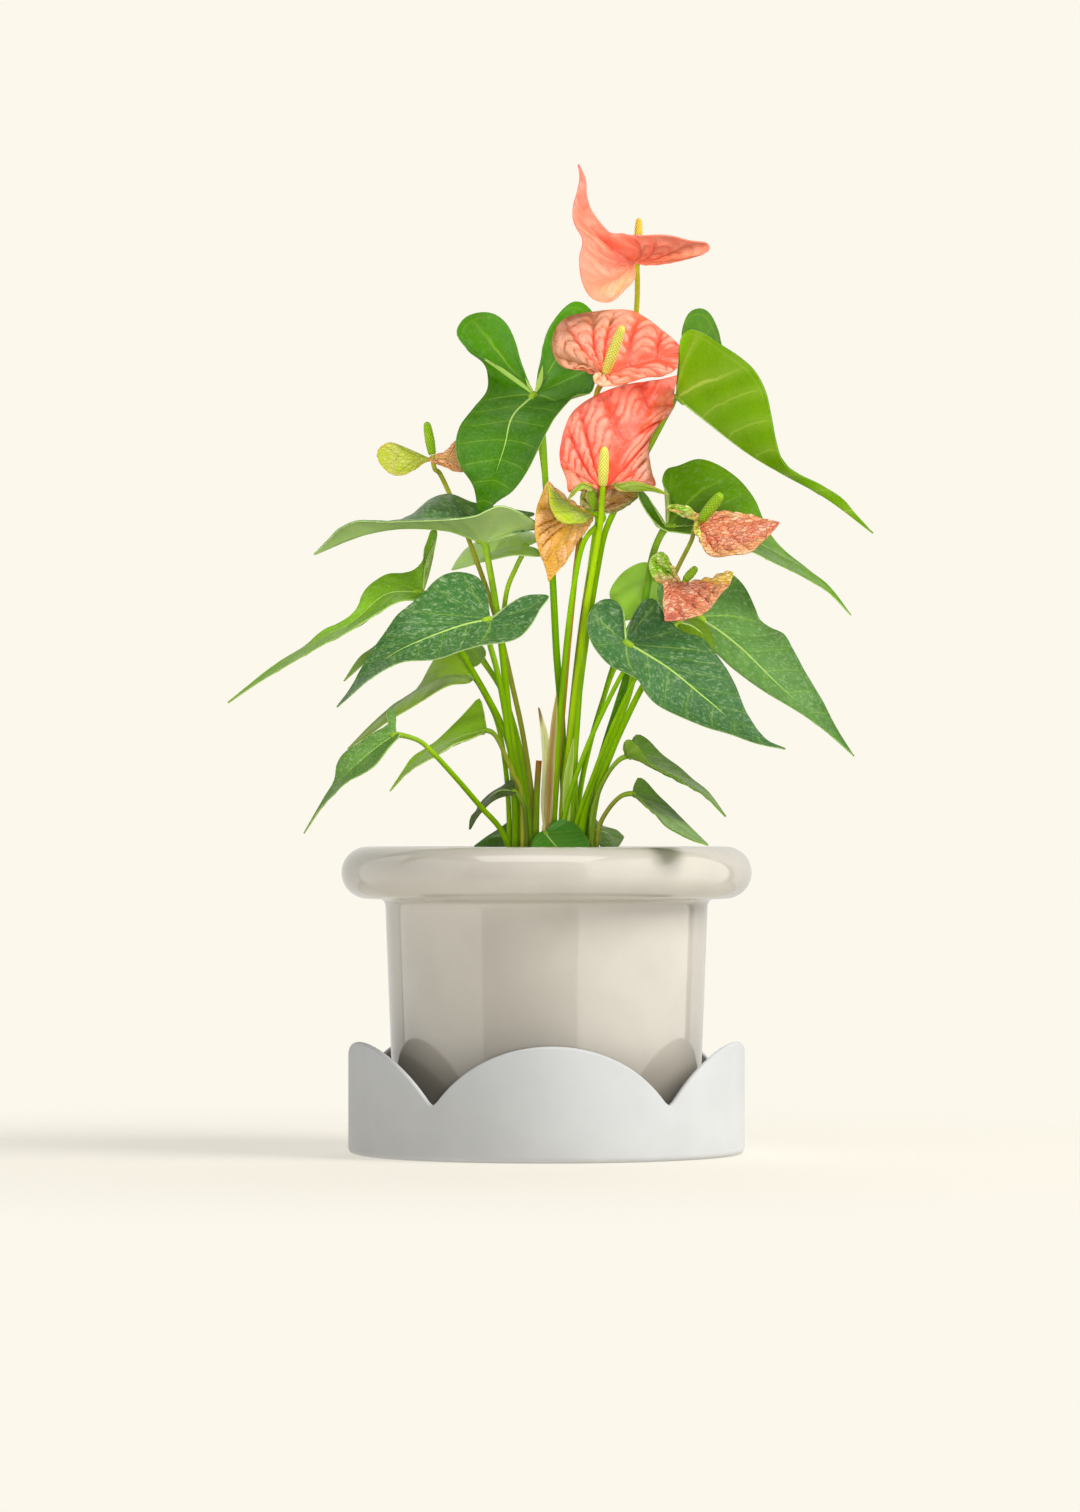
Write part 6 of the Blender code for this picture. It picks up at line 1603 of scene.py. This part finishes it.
def grainy_skin(name, roughness, grain, distance):
    """A tint with darker grain of this scale."""
    made = Skin(name, roughness)
    tint, _ = made.tint()
    cloud = made.noise(made.where, grain, 4.0)
    colour = made.mix(made.clamp(cloud, 0.4, 0.7, 0.0, 0.4), tint, made.shaded(tint, (0.6, 0.6, 0.55)))
    return made.done(colour, cloud, distance * MM, 0.6)


def glaze_skin():
    """Shiny glaze, faintly clouded and speckled, with painted shade toward the foot, inside the saucer."""
    made = Skin("pot_glaze_look", 0.09, Coat_Weight=0.6, Coat_Roughness=0.04)
    cloud = made.noise(made.where, 30.0, 3.0)
    speck = made.noise(made.where, 1400.0, 1.0)
    height = made.split(made.where)[2]
    colour = made.mix(made.clamp(cloud, 0.3, 0.7), *[solid(c) for c in GLAZE_COLOURS])
    colour = made.mix(made.clamp(speck, 0.66, 0.74, 0.0, 0.25), colour, solid(SPECK_COLOUR))
    # Painted shade on the glaze toward the foot, inside the saucer
    foot = made.clamp(height, FOOT_SHADE_FULL * MM, FOOT_SHADE_END * MM, 0.6, 0.0)
    colour = made.mix(foot, colour, solid(GLAZE_FOOT_SHADE_COLOUR))
    return made.done(colour, made.noise(made.where, 90.0, 2.0), 0.08 * MM, 0.5)


def clay_skin():
    """Matt clay, faintly clouded, with painted shade on the saucer's inside."""
    made = Skin("saucer_clay_look", 0.55)
    cloud = made.noise(made.where, 26.0, 3.0)
    colour = made.mix(made.clamp(cloud, 0.3, 0.7), *[solid(c) for c in CLAY_COLOURS])
    radius = made.add("ShaderNodeVectorMath", {0: made.scaled(1, 1, 0)}, output=1, operation="LENGTH")
    wall = (SAUCER_RADIUS - SAUCER_WALL) * MM
    # Painted shade on the saucer's inside
    inside = made.clamp(radius, wall, wall + 1.2 * MM, 0.6, 0.0)
    colour = made.mix(inside, colour, solid(CLAY_INSIDE_SHADE_COLOUR))
    return made.done(colour, made.noise(made.where, 900.0, 2.0), 0.1 * MM, 0.5)


def make_materials():
    return {
        "leaf": blade_skin("leaf_skin", 0.34, VEIN_COLOUR, 0.16, 0.04, 0.04, 0.03, Specular_IOR_Level=0.26),
        "under": blade_skin("leaf_underside", 0.5, UNDER_VEIN_COLOUR, 0.22, 0.05, 0.05, 0.10,
                            Specular_IOR_Level=0.1),
        "stem": stem_skin("stem_skin", 0.4, 0.3, Specular_IOR_Level=0.1),
        "sheath": stem_skin("sheath_skin", 0.6, 0.5, Specular_IOR_Level=0.15),
        "spathe": spathe_skin("spathe_skin", 0.25, Specular_IOR_Level=0.85),
        "spathe_back": spathe_skin("spathe_back", 0.42, Specular_IOR_Level=0.3),
        "spadix": grainy_skin("spadix_skin", 0.45, 900.0, 0.3),
        "soil": grainy_skin("soil_grain", 0.95, 700.0, 0.8),
        "glaze": glaze_skin(),
        "clay": clay_skin(),
    }


def emptied(owner):
    """The node tree of a material or world, with its first nodes taken out."""
    nodes = Nodes(owner)
    nodes.tree.nodes.clear()
    return nodes


def aim(obj, place, target):
    obj.location = place
    obj.rotation_euler = (Vector(target) - Vector(place)).to_track_quat("-Z", "Y").to_euler()


def make_light(name, kind, place, target, power, size, colour):
    """A square soft light or a soft spot, neither seen nor mirrored."""
    data = bpy.data.lights.new(name, kind)
    data.energy = power
    data.color = colour
    if kind == "AREA":
        data.shape = "RECTANGLE"
        data.size = data.size_y = size
    else:
        data.spot_size = math.radians(SPOT_CONE)
        data.spot_blend = SPOT_BLEND
        data.shadow_soft_size = size
    light = bpy.data.objects.new(name, data)
    aim(light, place, target)
    light.visible_camera = False
    light.visible_glossy = False
    bpy.context.scene.collection.objects.link(light)


def panel(name, place, target, width, height, glow):
    """A glowing board that only mirrors in shiny surfaces."""
    made = bpy.data.materials.new(name)
    nodes = emptied(made)
    nodes.show("ShaderNodeOutputMaterial", nodes.add("ShaderNodeEmission", {0: BOARD_COLOUR, 1: glow}))
    made.cycles.emission_sampling = "NONE"
    shape = Shape()
    x, y = width / 2, height / 2
    shape.add([(-x, -y, 0), (x, -y, 0), (x, y, 0), (-x, y, 0)], [NO_TINT] * 4, [(0, 1, 2, 3)], 0)
    board = shape.build(name, [made], keep_in=False)
    aim(board, place, target)
    for kind in ("camera", "diffuse", "transmission", "volume_scatter", "shadow"):
        setattr(board, "visible_" + kind, False)


def make_world():
    """A room that is seen in one colour and gives light in another."""
    world = bpy.data.worlds.new("studio")
    bpy.context.scene.world = world
    nodes = emptied(world)
    seen = nodes.add("ShaderNodeBackground", {0: solid(CREAM)})
    lit = nodes.add("ShaderNodeBackground", {0: ROOM_COLOUR, 1: ROOM_LIGHT})
    from_camera = nodes.add("ShaderNodeLightPath", output="Is Camera Ray")
    nodes.show("ShaderNodeOutputWorld", nodes.add("ShaderNodeMixShader", {0: from_camera, 1: lit, 2: seen}))


def make_floor():
    """A pale round floor that fades out into the pale room."""
    made = bpy.data.materials.new("pale_floor")
    nodes = emptied(made)
    skin = nodes.add("ShaderNodeBsdfDiffuse", {0: solid(FLOOR_COLOUR)})
    glow = nodes.add("ShaderNodeEmission", {0: solid(CREAM), 1: 1.0})
    soft = nodes.add("ShaderNodeMixShader", {0: FLOOR_GLOW, 1: skin, 2: glow})
    where = nodes.add("ShaderNodeTexCoord", output="Object")
    reach = nodes.add("ShaderNodeVectorMath", {0: where}, output="Value", operation="LENGTH")
    ends = {"Value": reach, "From Min": FLOOR_FADE_FROM * MM, "From Max": FLOOR_REACH * MM}
    fade = nodes.add("ShaderNodeMapRange", ends, interpolation_type="SMOOTHSTEP")
    clear = nodes.add("ShaderNodeBsdfTransparent")
    nodes.show("ShaderNodeOutputMaterial", nodes.add("ShaderNodeMixShader", {0: fade, 1: soft, 2: clear}))
    rows = [(FLOOR_REACH * i / FLOOR_RINGS, -FLOOR_DROP) for i in range(FLOOR_RINGS + 1)]
    points, faces = rings_of(rows, FLOOR_AROUND)
    shape = Shape()
    shape.add(points, [NO_TINT] * len(points), faces, 0)
    floor = shape.build("floor", [made], keep_in=False)


def make_camera():
    data = bpy.data.cameras.new("camera")
    data.lens = LENS
    data.sensor_width = SENSOR_WIDTH
    camera = bpy.data.objects.new("camera", data)
    camera.location = (0, -EYE_FAR * MM, EYE_HIGH * MM)
    camera.rotation_euler = (math.radians(90 + CAMERA_PITCH), 0, math.radians(CAMERA_YAW))
    bpy.context.scene.collection.objects.link(camera)
    bpy.context.scene.camera = camera


def main():
    materials = make_materials()
    make_saucer(materials)
    make_pot(materials)
    make_soil(materials)
    for name, leaf in LEAVES.items():
        make_leaf(name, leaf, materials)
    for name, flower in FLOWERS.items():
        make_flower(name, flower, materials)
    for name, sheath in SHEATHS.items():
        make_sheath(name, sheath, materials)
    make_stub(materials)
    make_world()
    make_floor()
    for name, board in BOARDS.items():
        panel(name, *board)
    for name, light in LIGHTS.items():
        make_light(name, *light)
    make_camera()
    bpy.context.scene.view_settings.view_transform = "Standard"


main()
bpy.context.view_layer.update()
